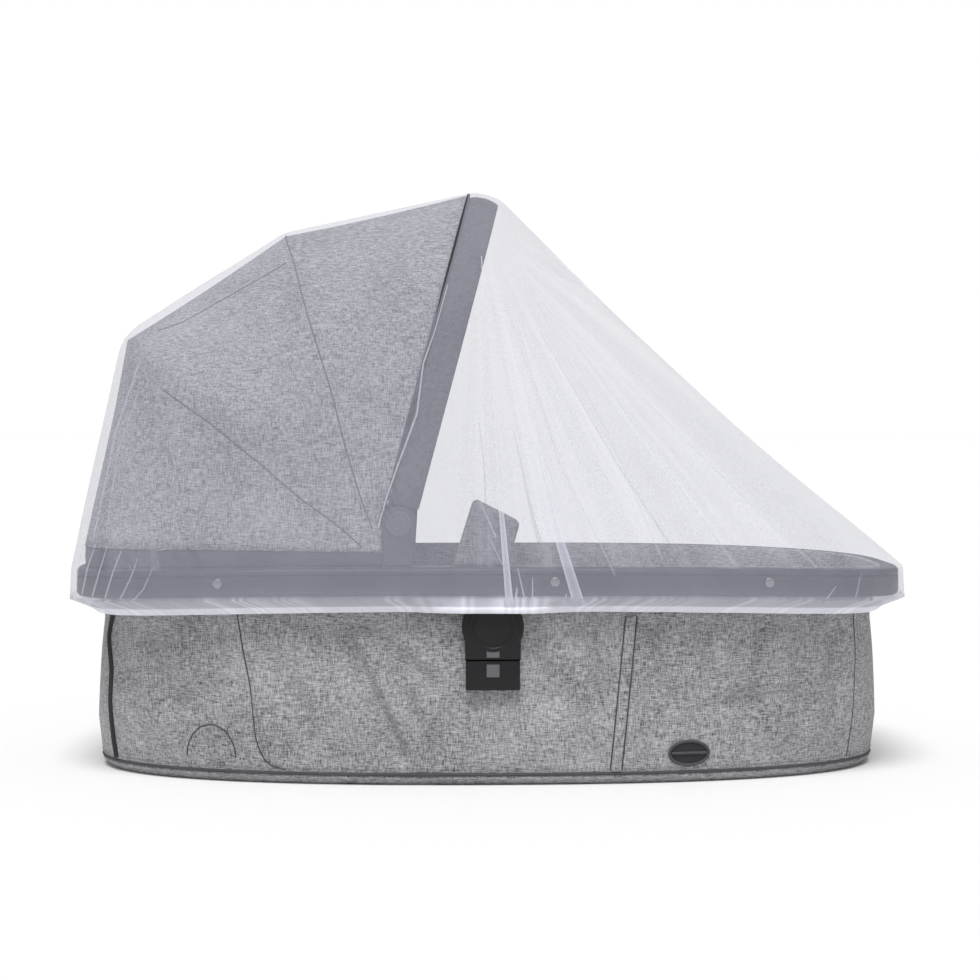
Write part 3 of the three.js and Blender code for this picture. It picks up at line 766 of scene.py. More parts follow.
rows = []
seams = [front_line, middle_line, back_line, hem_line]
for start, end, depth in zip(seams, seams[1:], PANEL_SLACK):
    shares = [i / PANEL_ROWS for i in range(PANEL_ROWS + (1 if end is hem_line else 0))]
    rows += slack([(share, start + (end - start) * share) for share in shares], depth)
hood = cloth_mesh("hood_panels", rows)
hood_melange = melange("hood_melange", (0.055, 0.054, 0.059), (0.46, 0.455, 0.475), 1000, 160, 1.15)
hood.data.materials.append(hood_melange)
walled(hood, 1.4, -1)
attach(hood, "root")
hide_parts("hood_cloth")

hood_faces = grid_faces(len(rows), len(across))
hood_lies = BVHTree.FromPolygons([tuple(point) for row in rows for point in row], hood_faces)
SEAM_OFF = 0.2


def laid_line(table, side):
    """A line through a table of x and z, laid from one side on the hood's cloth."""
    points = []
    for x, z in zip(*spaced(table, 4, 6)):
        hit = hood_lies.ray_cast(Vector((x, side * 500, z)), Vector((0, -side, 0)))[0]
        if hit is not None:
            points.append((hit[0], hit[1] + side * SEAM_OFF, hit[2]))
    return points


REAR_SEAM = [(-312, 374), (-266, 343), (-216, 303), (-180, 272), (-143, 245), (-122, 226)]
SHOULDER_SEAM = [(-196, 494), (-244, 467), (-295, 439), (-320, 431)]
MIDDLE_SEAM = [(-113, 244), (-125, 277), (-138, 320), (-152, 376), (-173, 441), (-186, 488), (-191, 503)]
near_seam, far_seam = (laid_line(MIDDLE_SEAM, side) for side in (-1, 1))
crest = [tuple(point) for point in middle_line + [0, 0, SEAM_OFF] if point[2] > MIDDLE_SEAM[-1][1] + 1]
hood_seams = [(near_seam + crest + far_seam[::-1], False)]
for side in (-1, 1):
    hood_seams += [(laid_line(table, side), False) for table in (REAR_SEAM, SHOULDER_SEAM)]
hood_piping = along_paths("hood_seams", piping_tree, hood_seams, seam_shade, Radius=0.0006)
# A dark cord along the hood cloth's front edge fills the gap beside the band: partly piping, partly painted
# shade of that gap.
front_edge_cord_and_gap_shade = along_paths("band_edge_cord_and_gap_shade", piping_tree, [(front_line, False)], piping_and_painted_shade_cloth, Radius=0.0016)
for thing in (hood_piping, front_edge_cord_and_gap_shade):
    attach(thing, "root")

# Hood trims
# A dark woven band is wrapped round the front hoop, and a dark binding closes the hood's hem
# on the rim, round the head end.
band_weave = melange("band_weave", (0.025, 0.025, 0.03), (0.11, 0.11, 0.125), 900, 160, 0.8)
binding_weave = melange("binding_weave", (0.012, 0.012, 0.016), (0.05, 0.05, 0.06), 1400, 300, 0.9)
# The band's crowned section: share of its width, how far out from the hoop's line
BAND_SECTION = [(-0.5, -2.2), (-0.44, -1.3), (-0.25, 0.4), (0, 1.1), (0.25, 0.4), (0.44, -1.3), (0.5, -2.2)]
rows = []
for share, out_by in BAND_SECTION:
    line = hoop_line(HOOPS["front"], HOOP_START["front"], across, out_by)
    rows.append(line - behind(HOOPS["front"]) * BAND["wide"] * share)
bow_band = cloth_mesh("bow_band", rows)
bow_band.data.materials.append(band_weave)
walled(bow_band, 3.2, 1)
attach(bow_band, "root")
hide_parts("front_bow")

rows = []
for rise in np.linspace(0, 1, 9):
    rows.append(hood_hem(rise, 2 * HOOD_ACROSS + 1, inset=-0.6 * math.sin(math.pi * rise) + 0.8))
binding = cloth_mesh("hem_binding", rows)
binding.data.materials.append(binding_weave)
walled(binding, 2.2, 1)
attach(binding, "root")
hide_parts("hood_binding")

# Pivots
# A black plastic disc a side, where the three hoops turn on the rim, with a round button in it.
PIVOT_PLATE = {"radius": 16.5, "half_base": 14.0, "thick": 7.0, "inset": 3.0, "round": 1.0, "clear": 0.5}
BUTTON = {"radius": 12.0, "height": 2.0, "sunk": 0.7}
pivot_plastic = plastic("pivot_plastic", (0.045, 0.045, 0.05), (0.065, 0.065, 0.07), 0.5, 0.36, 0.1)
cap_plastic = plastic("pivot_cap_plastic", (0.075, 0.076, 0.084), (0.1, 0.1, 0.11), 0.42, 0.3, 0.1)


def turned(name, profile, centre, side):
    """A round part on a pin along y: its profile gives radius and reach outwards in millimetres."""
    angle = np.linspace(0, 2 * math.pi, 64, endpoint=False)
    rings = []
    for radius, reach in profile:
        x, z = centre[0] + radius * np.cos(angle), centre[2] + radius * np.sin(angle)
        rings.append(np.stack([x, np.full(len(angle), centre[1] + side * reach), z], axis=1))
    thing = cloth_mesh(name, rings, closed=True)
    capped(thing)
    set_smooth(thing, 35)
    return thing


def plate_outline(grow):
    """A disc that stands on the rim on a straight-sided foot."""
    angle = np.linspace(-0.12, math.pi + 0.12, 48)
    radius, half = PIVOT_PLATE["radius"] + grow, PIVOT_PLATE["half_base"] + grow
    points = [(radius * math.cos(a), radius * math.sin(a)) for a in angle]
    low = PIVOT_PLATE["clear"] - PIVOT["height"] + max(0, -grow)
    return [*points, (-half, low), (half, low)]


def pivot_disc(label, side, middle):
    """A flat moulding with rounded edges that stands on edge along y."""
    half, edge = PIVOT_PLATE["thick"] / 2, PIVOT_PLATE["round"]
    rings = []
    for grow, y in ((-edge, -half), (0, edge - half), (0, half - edge), (-edge, half)):
        rings.append([(pivot[0] + x, side * middle + y, pivot[2] + z) for x, z in plate_outline(grow)])
    disc = cloth_mesh(f"pivot_disc_{label}", rings, closed=True)
    capped(disc)
    set_smooth(disc, 35)
    disc.data.materials.append(pivot_plastic)
    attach(disc, "root")
    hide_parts(f"pivot_{label}")


radius, height = BUTTON["radius"], BUTTON["height"]
cap_profile = [(0.4, -0.5), (radius, -0.5), (radius, height - 0.8), (radius - 0.8, height)]
cap_profile += [(radius - 3, height), (radius - 3.6, height - BUTTON["sunk"]), (0.4, height - BUTTON["sunk"])]
for side, label in ((-1, "near"), (1, "far")):
    middle = BOW["width"] - PIVOT_PLATE["inset"]
    pivot_disc(label, side, middle)
    face = side * (middle + PIVOT_PLATE["thick"] / 2)
    cap = turned(f"pivot_cap_{label}", cap_profile, (pivot[0], face, pivot[2]), side)
    cap.data.materials.append(cap_plastic)
    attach(cap, "root")
    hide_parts(f"pivot_button_{label}")

# Adaptors
# A black moulded bracket under the rail on each side: a round boss at the top with a ring and a
# sunk disc, then a straight foot with a parting line and two small square windows.
ADAPTOR = {"half": 26.0, "deep": 12.0, "low": 92.0, "top": 179.7, "face": 196.7}
ADAPTOR.update(disc=29.0, disc_z=151.7)
# The parting line between the foot and the head: its two edges, and how far the foot stands back
PARTING = {"foot_top": 120.0, "head_low": 120.8, "narrower": 0.6, "step": 0.8}
WINDOW = {"half": 6.0, "at": (129.0, 110.5)}
CORNERS = [(-1, -1), (1, -1), (1, 1), (-1, 1)]
RING_PROFILE = [(19.5, -2), (23.5, -2), (23.5, 0.4), (22.9, 0.9), (20.1, 0.9), (19.5, 0.4)]
DISC_PROFILE = [(0.4, -1), (17.5, -1), (17.5, 0.5), (16.9, 1.0), (0.4, 1.0)]
adaptor_plastic = plastic("adaptor_plastic", (0.007, 0.007, 0.008), (0.015, 0.015, 0.017), 0.48, 0.34, 0.12)
# The windows' faces are a flat lighter grey: a painted highlight on the black moulding.
window_painted_highlight = plastic("window_painted_highlight", (0.09, 0.09, 0.095), (0.14, 0.14, 0.145), 0.6, 0.5, 0.1)


def head_outline(grow):
    """The head seen from the side: straight at its foot, a disc above, cut flat at its top."""
    radius, half = ADAPTOR["disc"] + grow, ADAPTOR["half"] + grow
    reach = min(ADAPTOR["top"] + grow - ADAPTOR["disc_z"], radius * 0.999)
    angle = np.linspace(-math.acos(min(1, half / radius)), math.asin(reach / radius), 14)
    right = [(radius * math.cos(a), ADAPTOR["disc_z"] + radius * math.sin(a)) for a in angle]
    left = [(-x, z) for x, z in reversed(right)]
    low = PARTING["head_low"] - grow
    return [(-half, low), (half, low), *right, *left]


def foot_outline(grow):
    half = ADAPTOR["half"] + grow - PARTING["narrower"]
    low, high = ADAPTOR["low"] - grow, PARTING["foot_top"] + grow
    return [(-half, low), (half, low), (half, high), (-half, high)]


for side, label in ((-1, "near"), (1, "far")):
    front, back = ADAPTOR["face"], ADAPTOR["face"] - ADAPTOR["deep"]
    parts = []
    for outline_at, step in ((foot_outline, PARTING["step"]), (head_outline, 0.0)):
        rings = []
        for grow, y in ((0, back), (0, front - 1.4 - step), (-0.5, front - 0.5 - step), (-1.6, front - step)):
            rings.append([(x, side * y, z) for x, z in outline_at(grow)])
        block = cloth_mesh(f"adaptor_block_{label}", rings, closed=True)
        capped(block)
        set_smooth(block, 35)
        block.data.materials.append(adaptor_plastic)
        parts.append(block)
    for name, profile in (("ring", RING_PROFILE), ("disc", DISC_PROFILE)):
        thing = turned(f"adaptor_{name}_{label}", profile, (0, side * front, ADAPTOR["disc_z"]), side)
        thing.data.materials.append(adaptor_plastic)
        parts.append(thing)
    for z in WINDOW["at"]:
        step = PARTING["step"] if z < PARTING["foot_top"] else 0
        rings = []
        for grow, out_by in ((1.0, -0.6), (1.0, 0.35), (0.2, 0.6), (0.0, 0.35)):
            half, y = WINDOW["half"] + grow, side * (front + out_by - step)
            rings.append([(half * across_by, y, z + half * up_by) for across_by, up_by in CORNERS])
        window = cloth_mesh(f"adaptor_window_{label}", rings, closed=True, smooth=False)
        capped(window)
        window.data.materials.append(adaptor_plastic)
        window.data.materials.append(window_painted_highlight)
        # The faces that look out sideways carry the painted highlight.
        for face in window.data.polygons:
            if abs(face.normal[1]) > 0.95 and face.area > 0.9e-4 and face.normal[1] * side > 0:
                face.material_index = 1
        parts.append(window)
    for piece in parts:
        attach(piece, "root")
    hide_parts(f"adaptor_{label}")

# Rivets
# Small domed steel rivets fasten the cloth's upper edge to the rail's face, three a side.
RIVET = {"radius": 4.5, "height": 0.9, "below": 14.0, "at": (-258.0, 58.0, 261.0)}
steel, nodes, links, surface = shader("rivet_steel")
grain = nodes.new("ShaderNodeGroup")
grain.node_tree = moulded_grain
grain.inputs["Grain"].default_value = 2500
roughened(nodes, links, surface, grain.outputs["Wear"], 0.22, 0.42)
surface.inputs["Base Color"].default_value = (0.3, 0.3, 0.32, 1)
surface.inputs["Metallic"].default_value = 1.0


def rivet_tree():
    """A domed head on every point of a mesh, turned to the point's normal."""
    tree, nodes, links, given = shape_tree("rivets_on_points", {"Radius": 0.0045, "Height": 0.0011})
    way = nodes.new("GeometryNodeInputNamedAttribute")
    way.data_type = "FLOAT_VECTOR"
    way.inputs["Name"].default_value = "facing"
    across, high = given.outputs["Radius"], given.outputs["Height"]
    facing = way.outputs["Attribute"]
    made = balls(nodes, links, given.outputs["Geometry"], facing, (across, across, high), 32, 16)
    return finished(tree, given, made, True)


points, facing = [], []
power = RIM["square"] - 1
for side in (-1, 1):
    for x in RIVET["at"]:
        y = RIM["width"] * float(narrowing(abs(x) / RIM["length"], RIM["square"]))
        along = math.copysign((abs(x) / RIM["length"]) ** power / RIM["length"], x)
        slope = np.array([along, side * (y / RIM["width"]) ** power / RIM["width"], 0])
        slope /= np.linalg.norm(slope)
        points.append((x * MM, side * y * MM, (float(rim_top(x)) - RIVET["below"]) * MM))
        facing.append(slope)
seed = bpy.data.meshes.new("rivet_points")
seed.from_pydata(points, [], [])
seed.attributes.new("facing", "FLOAT_VECTOR", "POINT")
seed.attributes["facing"].data.foreach_set("vector", np.array(facing, np.float32).ravel())
head_size = {"Radius": RIVET["radius"] * MM, "Height": RIVET["height"] * MM}
rivets = through_tree("rivets", seed, rivet_tree(), steel, **head_size)
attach(rivets, "root")
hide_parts(*[f"rivet_{label}_{k}" for label in ("near", "far") for k in (1, 2, 3)])

# Socket cover
# A small padded cover of the same grey cloth over the socket on the near side of the rim.
SOCKET = [(-38, 0.5), (14, 0.5), (25, 40), (22, 44), (-15, 63), (-19, 61)]
SOCKET_Y = (-194.9, -183.1)


def rounded(points, radius, steps=6):
    """The outline with its corners rounded."""
    made = []
    count = len(points)
    for k in range(count):
        before, here, after = (np.array(points[(k + d) % count], float) for d in (-1, 0, 1))
        to_before, to_after = before - here, after - here
        cut = min(radius, np.linalg.norm(to_before) * 0.45, np.linalg.norm(to_after) * 0.45)
        a = here + to_before / np.linalg.norm(to_before) * cut
        b = here + to_after / np.linalg.norm(to_after) * cut
        for t in np.linspace(0, 1, steps):
            made.append(tuple((1 - t) ** 2 * a + 2 * t * (1 - t) * here + t * t * b))
    return made


outline = np.array(rounded(SOCKET, 3))
middle = outline.mean(axis=0)
PAD_SECTION = [  # share of the outline, share of the depth
    (0.3, 0.0), (0.6, 0.0), (0.9, 0.02), (0.975, 0.12), (1.0, 0.3),
    (1.0, 0.7), (0.975, 0.88), (0.9, 0.98), (0.6, 1.0), (0.3, 1.0),
]
rings = []
for grow, deep in PAD_SECTION:
    shape = middle + (outline - middle) * grow
    y = SOCKET_Y[0] + (SOCKET_Y[1] - SOCKET_Y[0]) * deep
    rings.append([(x, y, RIM["top"] + z) for x, z in shape])
socket_cover = cloth_mesh("socket_pad", rings, closed=True)
capped(socket_cover)
set_smooth(socket_cover)
socket_melange = melange("socket_melange", (0.04, 0.04, 0.045), (0.26, 0.26, 0.275), 1000, 120, 1.0)
socket_cover.data.materials.append(socket_melange)
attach(socket_cover, "root")
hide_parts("socket_cover")

# Net
# Sheer white net, pulled tight over the hood's hoops and the open foot end and down over the
# rail's face, where it is gathered into an elasticated hem that grips the tub under the rail.
NET_OVAL = (RIM["length"] + 4.2, RIM["width"] + 4.2, RIM["square"])
NET_COLUMNS = 200  # from the near rim up to the crest
NET_ROWS = [24, 20, 22, 5, 64]  # from each line that the net passes over to the next
# The share of a row that climbs from the rim to its hoop, the same share in the row round the
# foot end, how far the tent sags, and how far off the hoops the net lies
NET_LEG, TENT_LEG, NET_SAG, OFF_HOOP = 1 / 6, 0.05, 11.0, 3.4
# What the net's rows pass over, from head to foot: hoop, shift forward, how high up the hoop the
# net meets it, where the row stands on the rim
ARCHES = [
    (HOOPS["back"], 0.0, 0.45, -306.0), (HOOPS["middle"], 0.0, 0.3, -198.0),
    (HOOPS["front"], -14.5, 0.3, -100.0), (HOOPS["front"], 17.5, 0.3, -62.0),
]
LOOP_START = {"head": -346.0, "foot": -32.0}
LOOP_POINTS = 8001
# How the net rounds over each hoop: shift forward, how much it stands up there
ROUND_HOOP = [(-16, -3.0), (-8, -1.0), (0, 0.0), (8, -1.0), (16, -3.0)]
BAND_HOOP = [(-14.5, -0.9), (-7.5, 0.9), (1.5, 1.6), (10.5, 0.9), (17.5, -0.9)]
CROWNS = {"back": ROUND_HOOP, "middle": ROUND_HOOP, "front": BAND_HOOP}
# Folds that fan out from the top of a hoop: top x and height over the rim, the x it starts from,
# then on each side where it crosses the rim, its width and its height there
FANS = [
    {"top": (8, 340), "from": -40,
     -1: [(24, 34, 6), (84, 38, 8), (152, 36, 4.5), (222, 40, 6), (306, 42, 4.5)],
     1: [(8, 34, 5), (74, 38, 7), (140, 36, 4), (206, 40, 6.5), (286, 40, 5)]},
    {"top": (-352, 205), "from": -250,
     -1: [(-322, 24, 3), (-356, 26, 4.5), (-392, 24, 3.5)], 1: [(-334, 26, 4), (-376, 26, 3.5)]},
]


def eased(low, high, x):
    t = np.clip((x - low) / (high - low), 0, 1)
    return t * t * (3 - 2 * t)


def fold_lift(points, side):
    """How far the folds lift the net at each point."""
    lift = np.zeros(len(points))
    for fan in FANS:
        top = np.array([fan["top"][0], fan["top"][1] + RIM["top"]], float)
        on_side = np.sign(points[:, 0] - fan["from"]) == np.sign(top[0] - fan["from"])
        for rim_x, wide, high in fan[side]:
            line = np.array([rim_x, RIM["top"]]) - top
            reach = np.linalg.norm(line)
            line /= reach
            run = points[:, [0, 2]] - top
            along = run @ line / reach
            aside = np.abs(run[:, 0] * line[1] - run[:, 1] * line[0]) / (wide * (0.4 + 0.6 * along))
            rise = high * eased(0.1, 0.8, along) * (0.5 + 0.5 * np.cos(math.pi * np.clip(aside, 0, 1)))
            lift += np.where(on_side & (along > 0), rise, 0)
    return lift


def fan_streaks(points, side):
    """Fine gathers that run out from the top of each fan, from about -1 to 1."""
    streaks = np.zeros(len(points))
    for number, fan in enumerate(FANS):
        top = np.array([fan["top"][0] - 14, fan["top"][1] + RIM["top"] + 6], float)
        run = points[:, [0, 2]] - top
        turn, reach = np.degrees(np.arctan2(run[:, 1], run[:, 0])) % 360, np.hypot(run[:, 0], run[:, 1])
        random = np.random.default_rng(11 + 2 * number + (side > 0))
        coarse, fine = random.uniform(-1, 1, 90), random.uniform(-1, 1, 260)
        pattern = 0.6 * np.interp(turn, np.linspace(180, 360, 90), coarse)
        pattern += 0.55 * np.interp(turn, np.linspace(180, 360, 260), fine)
        on_side = eased(0, 40, (points[:, 0] - fan["from"]) * np.sign(fan["top"][0] - fan["from"]))
        streaks += pattern * on_side * eased(20, 120, reach)
    return streaks


def heart(points):
    """The places inside the net's space that its points are pushed away from."""
    return np.stack([points[:, 0] * 0.8, 0 * points[:, 0], np.full(len(points), RIM["top"] + 25)], axis=1)


def both_sides(pattern, points):
    """A pattern of the near side that turns softly into that of the far side over the middle."""
    far = eased(-60, 60, points[:, 1])
    return pattern(points, -1) * (1 - far) + pattern(points, 1) * far


def pushed(points, extra=0.0):
    """The net's points, pushed out by its folds and gathers and by something more."""
    away = points - heart(points)
    away /= np.linalg.norm(away, axis=1)[:, None]
    gathers = 1.1 * both_sides(fan_streaks, points) * eased(2, 60, points[:, 2] - RIM["top"])
    return points + away * (both_sides(fold_lift, points) + gathers + extra)[:, None]


def ridge(arch, share, side):
    hoop, shift, leaves, _ = arch
    way, reach = hoop_way(hoop)
    power = 2 / BOW["square"]
    first = math.asin(leaves ** (1 / power))
    turn = first + (math.pi / 2 - first) * share
    radius = (reach + OFF_HOOP) * np.sin(turn) ** power
    y = side * (BOW["width"] + OFF_HOOP) * np.maximum(0, np.cos(turn)) ** power
    return pivot + radius[:, None] * way - behind(hoop) * shift + np.stack([0 * y, y, 0 * y], axis=1)


def on_rim(x, side):
    x = np.asarray(x, float)
    return np.stack([x, side * NET_OVAL[1] * narrowing(x / NET_OVAL[0], NET_OVAL[2]), rim_top(x)], axis=-1)


def arch_row(arch, share, side):
    climb = ridge(arch, np.clip((share - NET_LEG) / (1 - NET_LEG), 0, 1), side)
    foot, knee = on_rim([arch[3]], side), ridge(arch, np.zeros(1), side)
    leg = np.clip(share / NET_LEG, 0, 1)[:, None]
    return np.where(share[:, None] < NET_LEG, foot + (knee - foot) * leg, climb)


def loop_row(end, share, side):
    start = LOOP_START["head" if end < 0 else "foot"]
    if end > 0:
        leg = share * TENT_LEG / NET_LEG
        share = np.where(share < NET_LEG, leg, TENT_LEG + (share - NET_LEG) * (1 - TENT_LEG) / (1 - NET_LEG))
    arc = oval_arc(*NET_OVAL, start, end, LOOP_POINTS)
    place, numbers = share * (LOOP_POINTS // 2), np.arange(LOOP_POINTS)
    x, y = np.interp(place, numbers, arc[:, 0]), np.interp(place, numbers, arc[:, 1])
    return np.stack([x, side * np.abs(y), rim_top(x)], axis=1)


shell = bmesh.new()
edge_ring = oval_ring(*NET_OVAL, 480)
for point in raised(edge_ring, rim_top(edge_ring[:, 0])):
    shell.verts.new(point)
rounds = [(hoop, shift, rise) for hoop, crown in CROWNS.items() for shift, rise in crown]
for hoop, shift, rise in rounds:
    arch = (HOOPS[hoop], shift, 0.3, 0.0)
    for side in (-1, 1):
        for point in ridge(arch, np.linspace(0, 1, 97), side):
            shell.verts.new(point + hoop_way(arch[0])[0] * rise)
bmesh.ops.convex_hull(shell, input=shell.verts)
tight = BVHTree.FromBMesh(shell)
shell.free()


def tightened(points):
    made = []
    for start, point in zip(heart(points), points):
        hit = tight.ray_cast(Vector(start), Vector(point - start))[0]
        made.append(tuple(hit) if hit else tuple(point))
    return np.array(made)


share = np.linspace(0, 1, NET_COLUMNS + 1)
lines = [lambda side: loop_row(-1, share, side)]
lines += [lambda side, arch=arch: arch_row(arch, share, side) for arch in ARCHES]
lines += [lambda side: loop_row(1, share, side)]
feet = [LOOP_START["head"], *[arch[3] for arch in ARCHES], LOOP_START["foot"]]
net_rows = []
for span, count in enumerate(NET_ROWS):
    tent = span == len(NET_ROWS) - 1
    for step in range(count + (1 if tent else 0)):
        down = step / count
        halves = []
        for side in (-1, 1):
            row = lines[span](side) * (1 - down) + lines[span + 1](side) * down
            if not (span == 0 and step == 0) and not (tent and step == count):
                row[1:] = tightened(row[1:])
            row[0] = on_rim(feet[span] + (feet[span + 1] - feet[span]) * down, side)
            sag = NET_SAG * math.sin(math.pi * down) * eased(0, 0.6, share) if tent else 0 * share
            halves.append(pushed(row, -sag))
        net_rows.append(np.concatenate([halves[0], halves[1][:-1][::-1]]))
net_rows = np.array(net_rows)
net_top = cloth_mesh("mosquito_net", net_rows[::-1])
# The net lies a little thicker towards the rim, and unevenly where it is gathered
flat_points = net_rows[::-1].reshape(-1, 3)
top_layers = 1 + 0.12 * eased(420, 260, flat_points[:, 2]) + 0.32 * both_sides(fan_streaks, flat_points)

# The skirt: how far below the rim's top, how far tucked in under the rail, how strongly gathered
SKIRT = [(0, 0, 0), (16, 0, 0.4), (30, 0, 0.7), (38, 0.8, 1.0), (43, 1.0, 0.6)]
HEM = {"low": 43.0, "band": 6.0, "off_tub": 2.0, "end_drop": 2.0, "gather": 2.2, "pitch": 10.0, "slant": 1.7}
OVER_ADAPTOR = (32, 98)  # the net isn't tucked in before the first, and wholly after the second
skirt_table = np.array(SKIRT, float)
ring = oval_ring(*NET_OVAL, 1400)
run = np.concatenate([[0], np.cumsum(np.linalg.norm(np.diff(ring, axis=0), axis=1))])
turn_c = np.sign(ring[:, 0]) * np.abs(ring[:, 0] / NET_OVAL[0]) ** (NET_OVAL[2] / 2)
turn_s = np.sign(ring[:, 1]) * np.abs(ring[:, 1] / NET_OVAL[1]) ** (NET_OVAL[2] / 2)
# Fine gathers round the skirt, bunched in places and of uneven pitch
random = np.random.default_rng(7)
bunch = np.interp(run, np.linspace(0, run[-1], 150), random.uniform(0.0, 1.0, 150)) ** 2
sway = np.interp(run, np.linspace(0, run[-1], 110), random.uniform(-7, 7, 110))
fine = (0.5 + 0.5 * np.sin(run / 2.3 + sway)) * bunch
edge = raised(ring, rim_top(ring[:, 0]))
lift = both_sides(fold_lift, edge)


def skirt_ring(below):
    """The net's ring so far below the rim's top, drawn in towards the tub under the rail."""
    tuck, gather = (np.interp(below, skirt_table[:, 0], skirt_table[:, k]) for k in (1, 2))
    endward = (np.abs(ring[:, 0]) / NET_OVAL[0]) ** 2
    z = rim_top(ring[:, 0]) - below - HEM["end_drop"] * endward * tuck
    length, width, square = tub_oval(z)
    hem_x = (length + HEM["off_tub"]) * np.sign(turn_c) * np.abs(turn_c) ** (2 / square)
    hem_y = (width + HEM["off_tub"]) * np.sign(turn_s) * np.abs(turn_s) ** (2 / square)
    share = (tuck * eased(*OVER_ADAPTOR, np.abs(ring[:, 0])))[:, None]
    place = ring * (1 - share) + np.stack([hem_x, hem_y], axis=1) * share
    wave = 0.5 + 0.5 * np.sin((ring[:, 0] + HEM["slant"] * ring[:, 1]) / HEM["pitch"])
    band_top, band_low = HEM["low"] - HEM["band"], HEM["low"]
    band = 0.9 * eased(band_top, band_top + 0.8, below) * (1 - eased(band_low - 0.8, band_low, below))
    push = HEM["gather"] * gather * wave + 1.3 * gather * eased(16, 32, below) * fine
    push += lift * (1 - 0.5 * tuck) + band
    return raised(place + outwards(place) * push[:, None], z)


first = pushed(edge)
skirt_levels = [1.5, 4, 8, 12, 16, 21, 26, 30, 33, 36, 37, 37.4, 38, 40, 41.8, 42.6, 43]
skirt_rows = np.array([first, *[skirt_ring(below) for below in skirt_levels]])
skirt = cloth_mesh("net_skirt", skirt_rows[::-1], closed=True)

# The net as it lies, to lay pleats and creases on
lying_points = np.concatenate([net_rows.reshape(-1, 3), skirt_rows.reshape(-1, 3)])
lying_faces = grid_faces(*net_rows.shape[:2])
top_count = net_rows.shape[0] * net_rows.shape[1]
lying_faces += grid_faces(*skirt_rows.shape[:2], closed=True, start=top_count)
as_it_lies = BVHTree.FromPolygons([tuple(point) for point in lying_points], lying_faces)

# Pleats and creases on the side: side, line of x, z and width in millimetres, extra layers
CREASES = [
    (-1, [(-10, 500, 1.0), (-8, 450, 1.2), (-1, 398, 1.4), (5, 289, 2.0), (8, 255, 4.6),
          (15.2, 171.2, 7.2)], 2.6),
    (-1, [(28, 398, 1.2), (44, 308, 2.2), (62, 232, 8.0), (80.4, 171.2, 10.7)], 2.2),
    (-1, [(22, 190, 0.8), (19.7, 172, 3.4)], 2.2), (-1, [(68, 184, 0.8), (66, 172, 2.6)], 2.0),
    (-1, [(22.4, 208, 0.8), (30.5, 172, 1.8)], 2.0), (-1, [(36.3, 199, 0.8), (36.3, 172, 1.8)], 2.0),
    (-1, [(-12.4, 269, 1.0), (2.7, 236, 1.6)], 1.6), (-1, [(-4, 236, 0.8), (14, 200, 1.6)], 1.4),
    (-1, [(325, 188, 0.8), (312, 172, 2.2)], 1.6), (-1, [(352, 200, 0.8), (345, 172, 2.0)], 1.4),
    (-1, [(-334, 404, 1.0), (-359, 335, 1.6), (-369, 286, 1.6), (-381, 229, 1.2)], 1.6),
    (-1, [(-335, 375, 0.8), (-356, 315, 1.4), (-366, 236, 1.2)], 1.2),
    (-1, [(-42, 472, 0.8), (-54, 429, 1.0), (-65, 398, 1.4), (-71, 351, 1.6), (-87, 308, 1.6),
          (-99, 274, 1.4), (-107, 246, 1.0)], 2.4),
    (-1, [(-392, 226, 0.8), (-397, 206, 1.4), (-399, 184, 1.8)], 2.0),
    (-1, [(-378, 226, 0.8), (-386, 204, 1.4), (-392, 178, 1.8)], 2.0),
    (-1, [(-364, 228, 0.8), (-372, 204, 1.4), (-381, 176, 1.8)], 2.0),
    (-1, [(-350, 222, 0.8), (-358, 202, 1.4), (-368, 172, 1.8)], 1.8),
    (-1, [(-334, 214, 0.8), (-341, 196, 1.4), (-353, 172, 1.6)], 1.6),
    (-1, [(-318, 208, 0.8), (-328, 186, 1.4), (-341, 172, 1.6)], 1.4),
    (-1, [(36, 470, 0.8), (110, 330, 1.6), (158, 214, 2.2)], 0.8),
    (-1, [(56, 452, 0.8), (150, 318, 1.6), (226, 210, 2.4)], 0.8),
    (-1, [(76, 432, 0.8), (210, 300, 1.6), (306, 206, 2.4)], 0.8),
    (-1, [(22, 440, 0.8), (60, 310, 1.4), (114, 200, 2.2)], 0.8),
    (1, [(-4, 340, 1.0), (2, 289, 1.6), (6, 172, 5.0)], 1.0),
    (1, [(34, 330, 1.0), (56, 232, 4.0), (75, 172, 7.6)], 1.0),
    (1, [(60, 440, 0.8), (150, 290, 1.6), (208, 205, 2.4)], 0.8),
    (1, [(-340, 390, 1.0), (-366, 286, 1.6), (-378, 229, 1.2)], 1.4),
    (1, [(-388, 226, 0.8), (-396, 184, 1.8)], 1.8), (1, [(-362, 222, 0.8), (-376, 176, 1.8)], 1.8),
    (1, [(-330, 212, 0.8), (-348, 172, 1.8)], 1.6),
]
# Across a crease: share of its width, share of its layers
CREASE_SECTION = [(-0.5, 1.5), (-0.32, 0.95), (0, 0.8), (0.32, 0.95), (0.5, 1.5)]
crease_rows = []
for side, line, layers in CREASES:
    x, z, wide = spaced(line, 3, 8)
    run_x, run_z = np.gradient(x), np.gradient(z)
    reach = np.hypot(run_x, run_z)
    rows = []
    for px, pz, w, ax, az in zip(x, z, wide, run_z / reach, -run_x / reach):
        row = []
        for aside, _ in CREASE_SECTION:
            start = Vector((px + ax * w * aside, side * 400, pz + az * w * aside))
            hit = as_it_lies.ray_cast(start, Vector((0, -side, 0)))[0]
            if hit is None:
                break
            row.append((hit[0], hit[1] + side * 0.5, hit[2]))
        if len(row) == len(CREASE_SECTION):
            rows.append(row)
    if len(rows) > 2:
        crease = cloth_mesh("net_crease", rows if side < 0 else [row[::-1] for row in rows])
        crease_rows.append((crease, layers))

